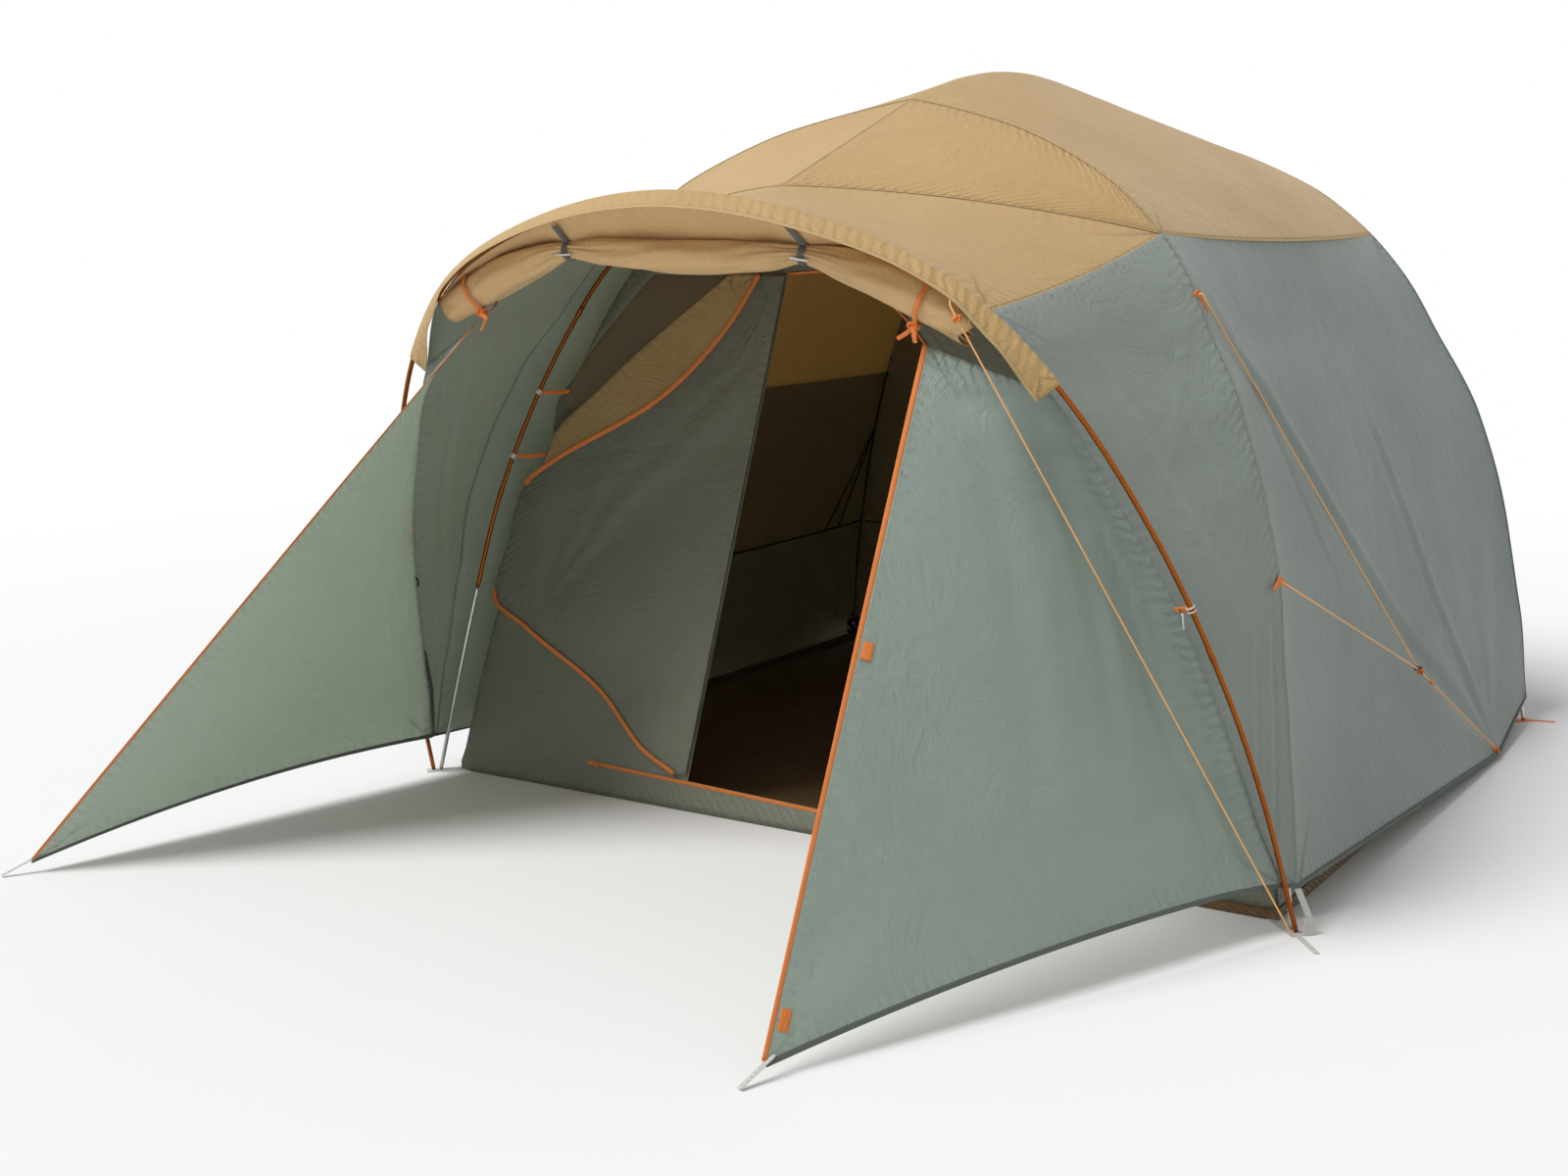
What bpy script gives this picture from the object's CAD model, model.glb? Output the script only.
"""Looks of a hubbed family tent with a rain fly and a leaning porch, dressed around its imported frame.

Lengths are metres in the frame's own axes: +X to the viewer's right facing the doorway, +Y into the tent
and +Z up. Each class is one sub-assembly: it holds its sizes, works out its surfaces with numpy and
gives them their finish.
"""

import logging
import math
from dataclasses import dataclass
from enum import Enum
from functools import cached_property
from typing import Sequence

import bpy
import numpy as np
from mathutils import Matrix
from mathutils.geometry import delaunay_2d_cdt
from numpy.typing import NDArray


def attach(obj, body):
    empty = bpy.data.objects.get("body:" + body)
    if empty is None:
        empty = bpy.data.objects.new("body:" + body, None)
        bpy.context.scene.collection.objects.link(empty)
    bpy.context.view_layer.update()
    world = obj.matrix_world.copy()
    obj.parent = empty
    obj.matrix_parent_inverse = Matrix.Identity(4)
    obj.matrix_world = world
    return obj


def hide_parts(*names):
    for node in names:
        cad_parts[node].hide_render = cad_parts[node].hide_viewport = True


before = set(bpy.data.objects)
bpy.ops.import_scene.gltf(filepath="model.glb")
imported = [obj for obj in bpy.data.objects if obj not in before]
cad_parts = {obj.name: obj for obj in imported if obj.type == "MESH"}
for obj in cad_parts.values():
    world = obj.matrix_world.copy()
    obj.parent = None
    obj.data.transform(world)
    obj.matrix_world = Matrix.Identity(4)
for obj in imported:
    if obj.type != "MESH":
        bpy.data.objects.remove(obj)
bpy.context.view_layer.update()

Array = NDArray[np.float64]
Colour = tuple[float, float, float]
Table = Sequence[tuple[float, float]]
LOG = logging.getLogger("tent")

CLOTH_WALL = 0.0007
CLOTH_LIFT = 0.0012
SEAM_STITCH = 0.0055
STITCH_HALF = 0.0007
HEM_WIDTH = 0.013
HEM_THICK = 0.0036
SEAM_THICK = 0.0020
RIGHT, INTO, UP = np.eye(3)
PLAN = np.array([1.0, 1.0, 0.0])
SIDES = (("right", 1.0), ("left", -1.0))
ENDS = (("front", False), ("rear", True))


# Lines and tables


def unit(vectors: Array) -> Array:
    """Scale vectors to length one along the last axis."""
    return vectors / np.maximum(np.linalg.norm(vectors, axis=-1, keepdims=True), 1e-12)


def curve_through(points: Sequence, per_span: int = 24) -> Array:
    """Run a centripetal Catmull-Rom curve through points.

    Each span blends its four nearest points three times, with knots a root of the distance apart.

    Args:
        points: The points to pass through.
        per_span: Points of the result in each span.

    Returns:
        The dense polyline.
    """
    p = np.asarray(points, float)
    p = np.vstack([2 * p[0] - p[1], p, 2 * p[-1] - p[-2]])
    a, b, c, d = (q[:, None, :] for q in (p[:-3], p[1:-2], p[2:-1], p[3:]))
    gaps = np.sqrt(np.maximum(np.linalg.norm(np.diff(p, axis=0), axis=1), 1e-6))
    k0 = np.zeros(len(a))
    k1 = gaps[:-2]
    k2 = k1 + gaps[1:-1]
    k3 = k2 + gaps[2:]
    t = k1[:, None] + (k2 - k1)[:, None] * np.arange(per_span) / per_span

    def mix(q: Array, r: Array, low: Array, high: Array) -> Array:
        """Blend two point arrays by where t lies between two knots."""
        return q + (r - q) * ((t - low[:, None]) / (high - low)[:, None])[..., None]

    a1, a2, a3 = mix(a, b, k0, k1), mix(b, c, k1, k2), mix(c, d, k2, k3)
    spans = mix(mix(a1, a2, k0, k2), mix(a2, a3, k1, k3), k1, k2)
    return np.vstack([spans.reshape(-1, p.shape[1]), p[-2]])


def run_of(line: Array) -> Array:
    """Return the running length at each point of a polyline."""
    return np.concatenate([[0.0], np.cumsum(np.linalg.norm(np.diff(line, axis=0), axis=1))])


def at_length(line: Array, distance: Array | float) -> Array:
    """Return the points of a polyline at running lengths."""
    run = run_of(line)
    return np.stack([np.interp(distance, run, line[:, k]) for k in range(line.shape[1])], axis=-1)


def length_at(line: Array, value: float, axis: int = 2) -> float:
    """Return the running length at which a coordinate of the polyline first reaches a value.

    Args:
        line: The polyline.
        value: The value that is reached.
        axis: Which coordinate counts.

    Returns:
        The running length.
    """
    gap = line[:, axis] - value
    first = int(np.argmax(gap[:-1] * gap[1:] <= 0.0))
    run = run_of(line)
    share = gap[first] / (gap[first] - gap[first + 1])
    return float(run[first] + (run[first + 1] - run[first]) * share)


def spaced(line: Array, start: float, end: float, count: int) -> Array:
    """Return evenly spaced points of a polyline between two running lengths."""
    return at_length(line, np.linspace(start, end, count))


def table_at(table: Table, x: Array | float) -> Array:
    """Read a table of (x, y) pairs, easing in and out between its rows.

    Args:
        table: The pairs, in the order of x.
        x: Where it is read.

    Returns:
        The values.
    """
    xs, ys = np.asarray(table, float).T
    x = np.clip(np.asarray(x, float), xs[0], xs[-1])
    i = np.clip(np.searchsorted(xs, x, side="right") - 1, 0, len(xs) - 2)
    t = (x - xs[i]) / (xs[i + 1] - xs[i])
    return ys[i] + (ys[i + 1] - ys[i]) * t * t * (3.0 - 2.0 * t)


def smooth_at(table: Table, x: Array) -> Array:
    """Read a table of (x, y) pairs along a curve that passes smoothly through all its rows."""
    line = curve_through(np.asarray(table, float), 24)
    return np.interp(x, line[:, 0], line[:, 1])


def tangents(line: Array) -> Array:
    """Return the unit direction at each point of a polyline."""
    return unit(np.gradient(line, axis=0))


def along_of(line: Array, place: Array) -> Array:
    """Return a polyline's unit direction at its point nearest to a place."""
    return tangents(line)[int(np.argmin(np.linalg.norm(line - place, axis=1)))]


def mirrored(points: Array) -> Array:
    """Mirror points to the other side of the ridge."""
    return points * np.array([-1.0, 1.0, 1.0])


def flipped(points: Array) -> Array:
    """Mirror points from front to rear."""
    return points * np.array([1.0, -1.0, 1.0])


def across(half: Array) -> Array:
    """Return a line from left to right, given its right half from the side to the middle."""
    return np.vstack([mirrored(half), half[:-1][::-1]])


def ruled(first: Array, last: Array, shares: Array) -> Array:
    """Return the grid of straight lines between two curves: rows by share, columns along the curves."""
    return first[None] + (last - first)[None] * np.asarray(shares)[:, None, None]


def bump_at(x: Array) -> Array:
    """Return the parabola 4x(1-x), nought at both ends and one in the middle."""
    return 4.0 * x * (1.0 - x)


def side_of(sign: float) -> Array:
    """Return the factor that leaves points on the right for 1 and mirrors them to the left for -1."""
    return np.array([sign, 1.0, 1.0])


def whole(half: Array) -> Array:
    """Return an arch from its right foot to its left one, given its right half up to the crown."""
    return np.vstack([half, mirrored(half[:-1])[::-1]])


def straight(start: Array, end: Array, count: int) -> Array:
    """Return evenly spaced points on the line between two points."""
    return start + (end - start) * np.linspace(0.0, 1.0, count)[:, None]


@dataclass(frozen=True)
class TentLines:
    """The lines that the poles and the cloth share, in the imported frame's sizes."""

    foot: Colour = (1.300, -1.205, 0.0041)
    shoulder: Colour = (0.793, -0.891, 1.574)
    hub: Colour = (0.0, -0.702, 1.929)
    ridge_rise: float = 0.117
    ridge_end: Colour = (0.0, -1.334, 1.692)
    leg_bends: Table = ((0.067, 0.318), (0.122, 0.554), (0.195, 0.831), (0.315, 1.132), (0.417, 1.329),
                        (0.495, 1.455))
    ridge_bends: Table = ((0.128, 1.684), (0.205, 1.733), (0.426, 1.833), (0.645, 1.894))
    fly_lift: float = 0.0136
    hem_front: float = 0.105
    hem_rear: float = 0.078
    pull_front: Table = ((0.10, 0.020), (0.34, 0.034), (0.57, 0.048), (0.80, 0.070), (1.00, 0.070),
                         (1.16, 0.060), (1.37, 0.026), (1.45, 0.020), (1.60, 0.0))
    pull_rear: Table = ((0.05, 0.004), (0.38, 0.028), (0.71, 0.036), (1.00, 0.036), (1.31, 0.008), (1.60, 0.0))
    seam_overhang: float = 0.024
    seam_arch: float = 0.022
    porch_foot: Colour = (1.315, 1.2185, 0.0051)
    porch_lean: float = 0.385
    porch_arch: Table = ((1.268, 0.330), (1.202, 0.613), (1.083, 0.945), (0.900, 1.270), (0.690, 1.480),
                         (0.360, 1.618))
    porch_crown: float = 1.670
    fold_inset: Table = ((0.10, 0.012), (0.30, 0.036), (0.49, 0.042), (0.78, 0.042), (1.04, 0.050),
                         (1.24, 0.040), (1.42, 0.004), (1.68, 0.0))
    behind_pole: float = 0.01135
    tan_reach: float = 0.760
    rows: int = 121
    ridge_columns: int = 61

    @cached_property
    def leg(self) -> Array:
        """The front right leg's centre line from its foot over the shoulder to the hub."""
        foot, shoulder, hub = (np.array(p) for p in (self.foot, self.shoulder, self.hub))
        points = [foot]
        for start, end, bends in ((foot, shoulder, self.leg_bends), (shoulder, hub, self.ridge_bends)):
            plan = unit((end - start) * PLAN)
            inset, height = np.asarray(bends).T
            place = start + plan * inset[:, None]
            place[:, 2] = height
            points += [*place, end]
        return curve_through(points)

    def outward(self, line: Array) -> Array:
        """Return the direction square to a leg line that points up and out of the tent."""
        ahead = np.gradient(line, axis=0)
        plan = ahead * PLAN
        size = np.linalg.norm(plan, axis=1, keepdims=True)
        return unit(UP * size - plan / np.maximum(size, 1e-9) * ahead[:, 2:])

    def lifted(self, pull: Table, extra: float = 0.0) -> Array:
        """Return the fly's line over a leg, pulled off it by a table of (height, distance)."""
        reach = self.fly_lift + extra + table_at(pull, self.leg[:, 2])
        return self.leg + self.outward(self.leg) * reach[:, None]

    def corner(self, rear: bool) -> tuple[Array, Array]:
        """Return one corner's samples from shoulder to hem, and its ridge samples from shoulder to hub.

        Args:
            rear: Whether it is the rear right corner and not the front right one.

        Returns:
            The corner line and the ridge line.
        """
        line = self.lifted(self.pull_rear if rear else self.pull_front)
        top = length_at(line, self.shoulder[2] + self.fly_lift)
        low = length_at(line, self.hem_rear if rear else self.hem_front)
        corner = spaced(line, top, low, self.rows)
        ridge = spaced(line, top, run_of(line)[-1], self.ridge_columns)
        return (flipped(corner), flipped(ridge)) if rear else (corner, ridge)

    def eave_seam(self, rear: bool) -> Array:
        """Return the seam from the shoulder to the ridge pole's end, raised as a parabola.

        Args:
            rear: Whether it is the rear seam.

        Returns:
            Its right half.
        """
        ridge = self.corner(rear)[1]
        end = np.array(self.ridge_end) + np.array([0.0, -self.seam_overhang, self.seam_overhang * 0.4])
        end = flipped(end) if rear else end
        t = 1.0 - ridge[:, :1] / ridge[0, 0]
        seam = ridge[0] + (end - ridge[0]) * t
        seam[:, 2] += self.seam_arch * bump_at(t[:, 0])
        return seam

    def porch_y(self, height: Array | float) -> Array | float:
        """Return the porch pole plane's Y at a height."""
        return -self.porch_foot[1] - self.porch_lean * np.asarray(height)

    @cached_property
    def forward(self) -> Array:
        """The porch pole plane's forward direction."""
        return unit(np.array([0.0, -1.0, -self.porch_lean]))

    @cached_property
    def porch(self) -> Array:
        """The porch pole's centre line from the right foot to the crown."""
        half = [(self.porch_foot[0], self.porch_foot[2]), *self.porch_arch]
        stations = np.array([*half, (0.0, self.porch_crown), (-self.porch_arch[-1][0], self.porch_arch[-1][1])])
        points = np.stack([stations[:, 0], self.porch_y(stations[:, 1]), stations[:, 1]], axis=1)
        line = curve_through(points)
        return spaced(line, 0.0, length_at(line, 0.0, 0), 241)

    def inward(self, line: Array) -> Array:
        """Return the direction in the arch's plane from the pole to the inside of the arch."""
        return unit(np.cross(self.forward, tangents(line)))

    @cached_property
    def porch_edge(self) -> Array:
        """The porch cloth's front edge behind the pole, from the crown to the hem."""
        line = self.porch
        inset = table_at(self.fold_inset, line[:, 2])[:, None]
        edge = line + self.inward(line) * inset - self.forward * self.behind_pole
        edge[-1, 0] = 0.0
        return edge[::-1]


LINES = TentLines()


# Finishes


class Graph:
    """A material or world under construction, with short calls for its nodes and links."""

    def __init__(self, owner: bpy.types.ID, shader: str = "Principled BSDF") -> None:
        """Start from the owner's own nodes.

        Args:
            owner: The material or world.
            shader: The name of its main node.
        """
        owner.use_nodes = True
        self.owner, self.tree = owner, owner.node_tree
        self.shader = self.tree.nodes[shader]

    def fill(self, node: bpy.types.Node, inputs: dict) -> None:
        """Give a node's inputs their values or links, by name or number."""
        for key, value in inputs.items():
            if isinstance(value, bpy.types.NodeSocket):
                self.tree.links.new(value, node.inputs[key])
            else:
                node.inputs[key].default_value = value

    def add(self, kind: str, inputs: dict | None = None, **settings: object) -> bpy.types.Node:
        """Add a node, give it its settings and fill its inputs.

        Args:
            kind: The node's type without its ShaderNode prefix.
            inputs: Values or sockets by input name or number.
            settings: The node's own properties.

        Returns:
            The new node.
        """
        node = self.tree.nodes.new("ShaderNode" + kind)
        for name, value in settings.items():
            setattr(node, name, value)
        self.fill(node, inputs or {})
        return node

    def math(self, operation: str, first: object, second: object = 0.0, third: object = 0.0) -> object:
        """Add a Math node and return its output."""
        return self.add("Math", {0: first, 1: second, 2: third}, operation=operation).outputs[0]

    def times(self, first: object, second: object) -> object:
        """Multiply two values."""
        return self.math("MULTIPLY", first, second)

    def away(self, value: object, middle: float) -> object:
        """Return how far a value lies from a middle, whichever side it is on."""
        return self.math("ABSOLUTE", self.math("SUBTRACT", value, middle))

    def mix(self, share: object, first: object, second: object) -> object:
        """Mix two colours by a share and return the output."""
        first, second = (c if isinstance(c, bpy.types.NodeSocket) else (*c, 1.0) for c in (first, second))
        return self.add("Mix", {0: share, 6: first, 7: second}, data_type="RGBA").outputs[2]

    def place(self) -> object:
        """Return the Object coordinates."""
        return self.add("TexCoord").outputs["Object"]

    def weave(self) -> object:
        """Return the piece's own map, in metres."""
        return self.add("UVMap", uv_map="cloth").outputs["UV"]

    def noise(self, place: object, scale: float, detail: float = 3.0, roughness: float = 0.5) -> object:
        """Add a noise texture and return its value."""
        inputs = {"Vector": place, "Scale": scale, "Detail": detail, "Roughness": roughness}
        return self.add("TexNoise", inputs).outputs["Fac"]

    def bands(self, place: object, scale: float, ways: str = "XY", distortion: float = 0.0) -> list:
        """Return wavy bands across each of the named axes."""
        inputs = {"Vector": place, "Scale": scale, "Distortion": distortion}
        return [self.add("TexWave", inputs, bands_direction=way).outputs["Fac"] for way in ways]

    def steps(self, value: object, low: float, high: float, start: float = 0.0, end: float = 1.0) -> object:
        """Map a range of a value smoothly onto another."""
        inputs = {0: value, 1: low, 2: high, 3: start, 4: end}
        return self.add("MapRange", inputs, interpolation_type="SMOOTHSTEP").outputs[0]

    def bump(self, height: object, distance: float, strength: float = 1.0, normal: object = None) -> object:
        """Add a bump node and return its normal."""
        inputs = {"Height": height, "Distance": distance, "Strength": strength}
        return self.add("Bump", inputs if normal is None else {**inputs, "Normal": normal}).outputs["Normal"]

    def seen(self) -> object:
        """Return one for rays from the camera and for mirrored ones, and nought for the rest."""
        path = self.add("LightPath")
        return self.math("MAXIMUM", path.outputs["Is Camera Ray"], path.outputs["Is Glossy Ray"])

    def surface(self, shader: bpy.types.Node) -> None:
        """Make a node's output the surface."""
        self.fill(self.tree.nodes["Material Output"], {"Surface": shader.outputs[0]})

    def finish(self, colour: object, roughness: object, normal: object, **inputs: object) -> bpy.types.Material:
        """Fill the main shader's inputs and return the material; underscores in names stand for spaces."""
        self.fill(self.shader, {"Base Color": colour, "Roughness": roughness, "Normal": normal})
        self.fill(self.shader, {name.replace("_", " "): value for name, value in inputs.items()})
        return self.owner


def shaded(colour: Colour, share: float) -> Colour:
    """Make a colour darker or paler by a share, with no part above one."""
    return tuple(min(1.0, part * share) for part in colour)


@dataclass(frozen=True)
class Finish:
    """What every finish has: its material's name, its slot and its colour."""

    name: str
    slot: str
    colour: Colour

    def graph(self) -> Graph:
        """Start the finish's material."""
        return Graph(bpy.data.materials.new(self.name))


@dataclass(frozen=True)
class ClothFinish(Finish):
    """Coated woven cloth, crumpled by packing, with a stitched line along its sewn edges."""

    shade: Colour
    roughness: float = 0.62
    crumple: float = 0.60
    sheen: float = 0.12
    through: Colour = (0.0, 0.0, 0.0)
    drawn_scales: tuple = ((6.0, 22.0, 6.0), (19.0, 7.0, 7.0))
    drawn_steps: tuple = (0.10, 0.09)
    relief: float = 0.0095
    yarn_scale: float = 90.0
    yarn_relief: float = 0.00012

    def build(self) -> bpy.types.Material:
        """Make the material: clouding, packing creases, puckers beside the seams, weave and stitches.

        Light comes through the cloth: a translucent share is added to the coated face.

        Returns:
            The material.
        """
        g = self.graph()
        place, weave = g.place(), g.weave()
        edge, along = (g.add("Attribute", attribute_name=name).outputs["Fac"] for name in ("edge", "along"))
        cloud, fleck = g.noise(place, 1.7, 4.0, 0.6), g.noise(place, 26.0, 5.0, 0.7)
        tone = g.math("ADD", g.steps(cloud, 0.3, 0.72, 0.0, 0.55), g.steps(fleck, 0.35, 0.75, 0.0, 0.3))
        line = g.math("LESS_THAN", g.away(edge, SEAM_STITCH), STITCH_HALF)
        dash = g.math("LESS_THAN", g.math("FRACT", g.times(along, 280.0)), 0.68)
        stitch = g.times(line, dash)
        colour = g.mix(g.times(stitch, 0.5), g.mix(tone, self.colour, self.shade), shaded(self.shade, 0.35))
        height = self.creases(g, place, weave, edge, along)
        yarn = g.math("ADD", *g.bands(weave, self.yarn_scale, distortion=0.4))
        normal = g.bump(g.math("MULTIPLY_ADD", stitch, -3.0, yarn), self.yarn_relief, 0.3,
                        g.bump(height, self.relief, self.crumple))
        rough = g.steps(cloud, 0.2, 0.8, self.roughness - 0.06, self.roughness + 0.08)
        material = g.finish(colour, rough, normal, Sheen_Weight=self.sheen, Sheen_Roughness=0.5)
        through = g.add("BsdfTranslucent", {"Color": (*self.through, 1.0), "Normal": normal})
        g.surface(g.add("AddShader", {0: g.shader.outputs[0], 1: through.outputs[0]}))
        return material

    def creases(self, g: Graph, place: object, weave: object, edge: object, along: object) -> object:
        """Return the height of the crumples: creases drawn out two ways, broad and small noise, and puckers.

        Args:
            g: The material's graph.
            place: Object coordinates.
            weave: The piece's own map.
            edge: Distance from the sewn edge.
            along: Distance along it.

        Returns:
            The height.
        """
        wander = g.add("TexNoise", {"Vector": place, "Scale": 2.3}).outputs["Color"]
        bend = g.add("VectorMath", {0: wander, 1: (0.9, 0.9, 0.9)}, operation="MULTIPLY").outputs[0]
        swept = g.add("VectorMath", {0: weave, 1: bend}, operation="ADD").outputs[0]
        drawn = [g.noise(g.add("Mapping", {"Vector": swept, "Scale": scale}).outputs[0], 1.0, 3.0, 0.55)
                 for scale in self.drawn_scales]
        first, second = (g.steps(g.away(noise, 0.5), 0.0, high) for noise, high in zip(drawn, self.drawn_steps))
        where = g.steps(g.noise(place, 3.1, 2.0), 0.40, 0.62)
        pressed = g.math("ADD", g.times(first, where), g.times(second, g.math("SUBTRACT", 1.0, where)))
        broad, small = g.noise(place, 6.0, 4.0, 0.5), g.noise(place, 31.0, 4.0, 0.6)
        ripple = g.math("SINE", g.math("MULTIPLY_ADD", along, 210.0, g.times(small, 9.0)))
        pucker = g.times(ripple, g.math("POWER", 2.718, g.times(edge, -26.0)))
        height = g.times(broad, 1.5)
        for value, share in ((pressed, 0.14), (small, 0.62), (pucker, 0.26)):
            height = g.math("MULTIPLY_ADD", value, share, height)
        return height


@dataclass(frozen=True)
class MeshFinish(Finish):
    """Fine insect netting, dark and half see-through."""

    alpha: float = 0.55

    def build(self) -> bpy.types.Material:
        """Make the material: a fine net in bump over a see-through base."""
        g = self.graph()
        net = g.math("MAXIMUM", *g.bands(g.weave(), 60.0))
        colour = g.mix(g.steps(net, 0.5, 1.0), self.colour, shaded(self.colour, 1.6))
        return g.finish(colour, 0.85, g.bump(net, 0.0003, 0.6), Alpha=self.alpha)


@dataclass(frozen=True)
class MetalFinish(Finish):
    """Anodised or bare tube with a drawn grain and light scuffs."""

    roughness: float
    metallic: float

    def build(self) -> bpy.types.Material:
        """Make the material: scuffed patches that are duller, and a fine drawn grain."""
        g = self.graph()
        place = g.place()
        scuff = g.noise(place, 34.0, 6.0, 0.7)
        grain = g.noise(g.add("Mapping", {"Vector": place, "Scale": (900.0, 900.0, 30.0)}).outputs[0], 1.0, 2.0)
        colour = g.mix(g.steps(scuff, 0.45, 0.8), self.colour, shaded(self.colour, 0.72))
        rough = g.steps(scuff, 0.35, 0.75, self.roughness - 0.05, self.roughness + 0.18)
        return g.finish(colour, rough, g.bump(grain, 0.00008, 0.3), Metallic=self.metallic)


@dataclass(frozen=True)
class WebbingFinish(Finish):
    """Woven tape: ribs across it, a paler worn face and darker valleys."""

    rib: float = 420.0
    roughness: float = 0.75

    def build(self) -> bpy.types.Material:
        """Make the material from crossed bands on Object coordinates."""
        g = self.graph()
        place = g.place()
        first, second, third = g.bands(place, self.rib / 6.3, "XYZ", 0.6)
        ribs = g.times(g.math("ADD", g.math("ADD", first, second), third), 0.34)
        colour = g.mix(g.steps(ribs, 0.2, 0.8), shaded(self.colour, 0.72), self.colour)
        worn = g.steps(g.noise(place, 60.0, 4.0, 0.6), 0.5, 0.8, 0.0, 0.3)
        return g.finish(g.mix(worn, colour, shaded(self.colour, 1.25)), self.roughness, g.bump(ribs, 0.0004, 0.5))


@dataclass(frozen=True)
class CordFinish(Finish):
    """Braided cord: two crossed spirals along the cord's own map."""

    fleck: Colour

    def build(self) -> bpy.types.Material:
        """Make the material from two sets of diagonal bands that cross."""
        g = self.graph()
        parts = g.add("SeparateXYZ", {0: g.weave()}).outputs
        turns, along = g.times(parts[0], 3.0), g.times(parts[1], 160.0)
        left, right = (g.math("SINE", g.times(g.math(way, turns, along), math.tau)) for way in ("ADD", "SUBTRACT"))
        colour = g.mix(g.steps(g.times(left, right), 0.3, 0.9), self.colour, self.fleck)
        return g.finish(colour, 0.7, g.bump(g.math("MAXIMUM", left, right), 0.0003, 0.6))


@dataclass(frozen=True)
class ZipFinish(Finish):
    """Coil zip: woven tape with teeth across its raised middle, along the piece's own map."""

    def build(self) -> bpy.types.Material:
        """Make the material: teeth every 1.6 mm as bands along the run, tape ribs either side."""
        g = self.graph()
        run = g.add("SeparateXYZ", {0: g.weave()}).outputs[1]
        tooth = g.steps(g.away(g.math("FRACT", g.times(run, 620.0)), 0.5), 0.12, 0.4)
        worn = g.steps(g.noise(g.place(), 40.0, 4.0, 0.6), 0.5, 0.85, 0.0, 0.35)
        colour = g.mix(worn, g.mix(tooth, self.colour, shaded(self.colour, 0.66)), shaded(self.colour, 1.2))
        return g.finish(colour, 0.6, g.bump(tooth, 0.0004, 0.5))


@dataclass(frozen=True)
class PlasticFinish(Finish):
    """Moulded plastic with a fine spark-eroded grain."""

    roughness: float = 0.45

    def build(self) -> bpy.types.Material:
        """Make the material: fine grain in bump and a slight cloud in its gloss."""
        g = self.graph()
        place = g.place()
        cloud = g.noise(place, 25.0, 4.0)
        colour = g.mix(g.steps(cloud, 0.3, 0.8), self.colour, shaded(self.colour, 0.8))
        rough = g.steps(cloud, 0.2, 0.8, self.roughness - 0.06, self.roughness + 0.1)
        return g.finish(colour, rough, g.bump(g.noise(place, 900.0, 2.0), 0.0001, 0.4))


class Look(Enum):
    """The finishes of this tent."""

    TAN = ClothFinish("tan_fly", "tan_cloth", (0.440, 0.296, 0.118), (0.375, 0.250, 0.098),
                      through=(0.200, 0.135, 0.055))
    TAN_ROLL = ClothFinish("tan_roll", "tan_cloth", (0.600, 0.405, 0.185), (0.520, 0.350, 0.158),
                           through=(0.200, 0.135, 0.060))
    TAN_INSIDE = ClothFinish("tan_inner", "tan_cloth", (0.370, 0.265, 0.118), (0.320, 0.228, 0.100),
                             through=(0.300, 0.215, 0.095))
    GREY = ClothFinish("grey_fly", "grey_cloth", (0.178, 0.216, 0.202), (0.154, 0.187, 0.175),
                       through=(0.320, 0.350, 0.290))
    GREY_INSIDE = ClothFinish("grey_inner", "grey_cloth", (0.160, 0.166, 0.124), (0.135, 0.141, 0.105),
                              through=(0.105, 0.110, 0.082))
    GREY_SHADED = ClothFinish("grey_side", "grey_cloth", (0.200, 0.234, 0.214), (0.172, 0.202, 0.185),
                              through=(0.190, 0.205, 0.160))
    INSIDE_WALL = ClothFinish("grey_lining", "grey_cloth", (0.285, 0.235, 0.155), (0.245, 0.200, 0.133),
                              through=(0.250, 0.205, 0.130))
    INSIDE_SKIRT = ClothFinish("grey_skirt", "grey_cloth", (0.250, 0.240, 0.195), (0.215, 0.206, 0.168),
                               through=(0.220, 0.210, 0.170))
    INSIDE_ROOF = ClothFinish("tan_lining", "tan_cloth", (0.640, 0.490, 0.270), (0.570, 0.440, 0.240),
                              through=(0.600, 0.470, 0.250))
    FLOOR = ClothFinish("floor_sheet", "floor_cloth", (0.135, 0.072, 0.016), (0.105, 0.056, 0.012), 0.5, 0.6)
    PATCH = ClothFinish("dark_patch", "grey_cloth", (0.060, 0.068, 0.060), (0.050, 0.057, 0.050))
    HEM = WebbingFinish("hem_binding", "grey_cloth", (0.105, 0.122, 0.108))
    SEAM = WebbingFinish("seam_tan", "tan_cloth", (0.520, 0.365, 0.165), 700.0)
    SEAM_GREY = WebbingFinish("seam_grey", "grey_cloth", (0.215, 0.265, 0.228), 700.0)
    PIPING = WebbingFinish("dark_piping", "grey_cloth", (0.030, 0.028, 0.022), 700.0)
    NET = MeshFinish("window_net", "mesh_cloth", (0.110, 0.105, 0.080), 0.5)
    ORANGE = WebbingFinish("orange_tape", "orange_trim", (0.800, 0.225, 0.040))
    ZIP = ZipFinish("orange_zip", "orange_trim", (0.820, 0.235, 0.040))
    COPPER = MetalFinish("copper_tube", "copper_pole", (0.300, 0.078, 0.008), 0.22, 0.90)
    SILVER = MetalFinish("silver_tube", "silver_pole", (0.640, 0.650, 0.650), 0.30, 0.90)
    NYLON = PlasticFinish("black_hub", "black_nylon", (0.022, 0.022, 0.022))
    CREAM = PlasticFinish("cream_clip", "orange_trim", (0.700, 0.640, 0.540))
    WEBBING = WebbingFinish("grey_strap", "grey_webbing", (0.560, 0.560, 0.525))
    DARK_STRAP = WebbingFinish("dark_strap", "grey_webbing", (0.120, 0.125, 0.115))
    CORD = CordFinish("guy_braid", "orange_cord", (0.900, 0.430, 0.140), (1.000, 0.680, 0.340))

    @cached_property
    def material(self) -> bpy.types.Material:
        """The finish's material, built once."""
        return self.value.build()


# Meshes


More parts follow.
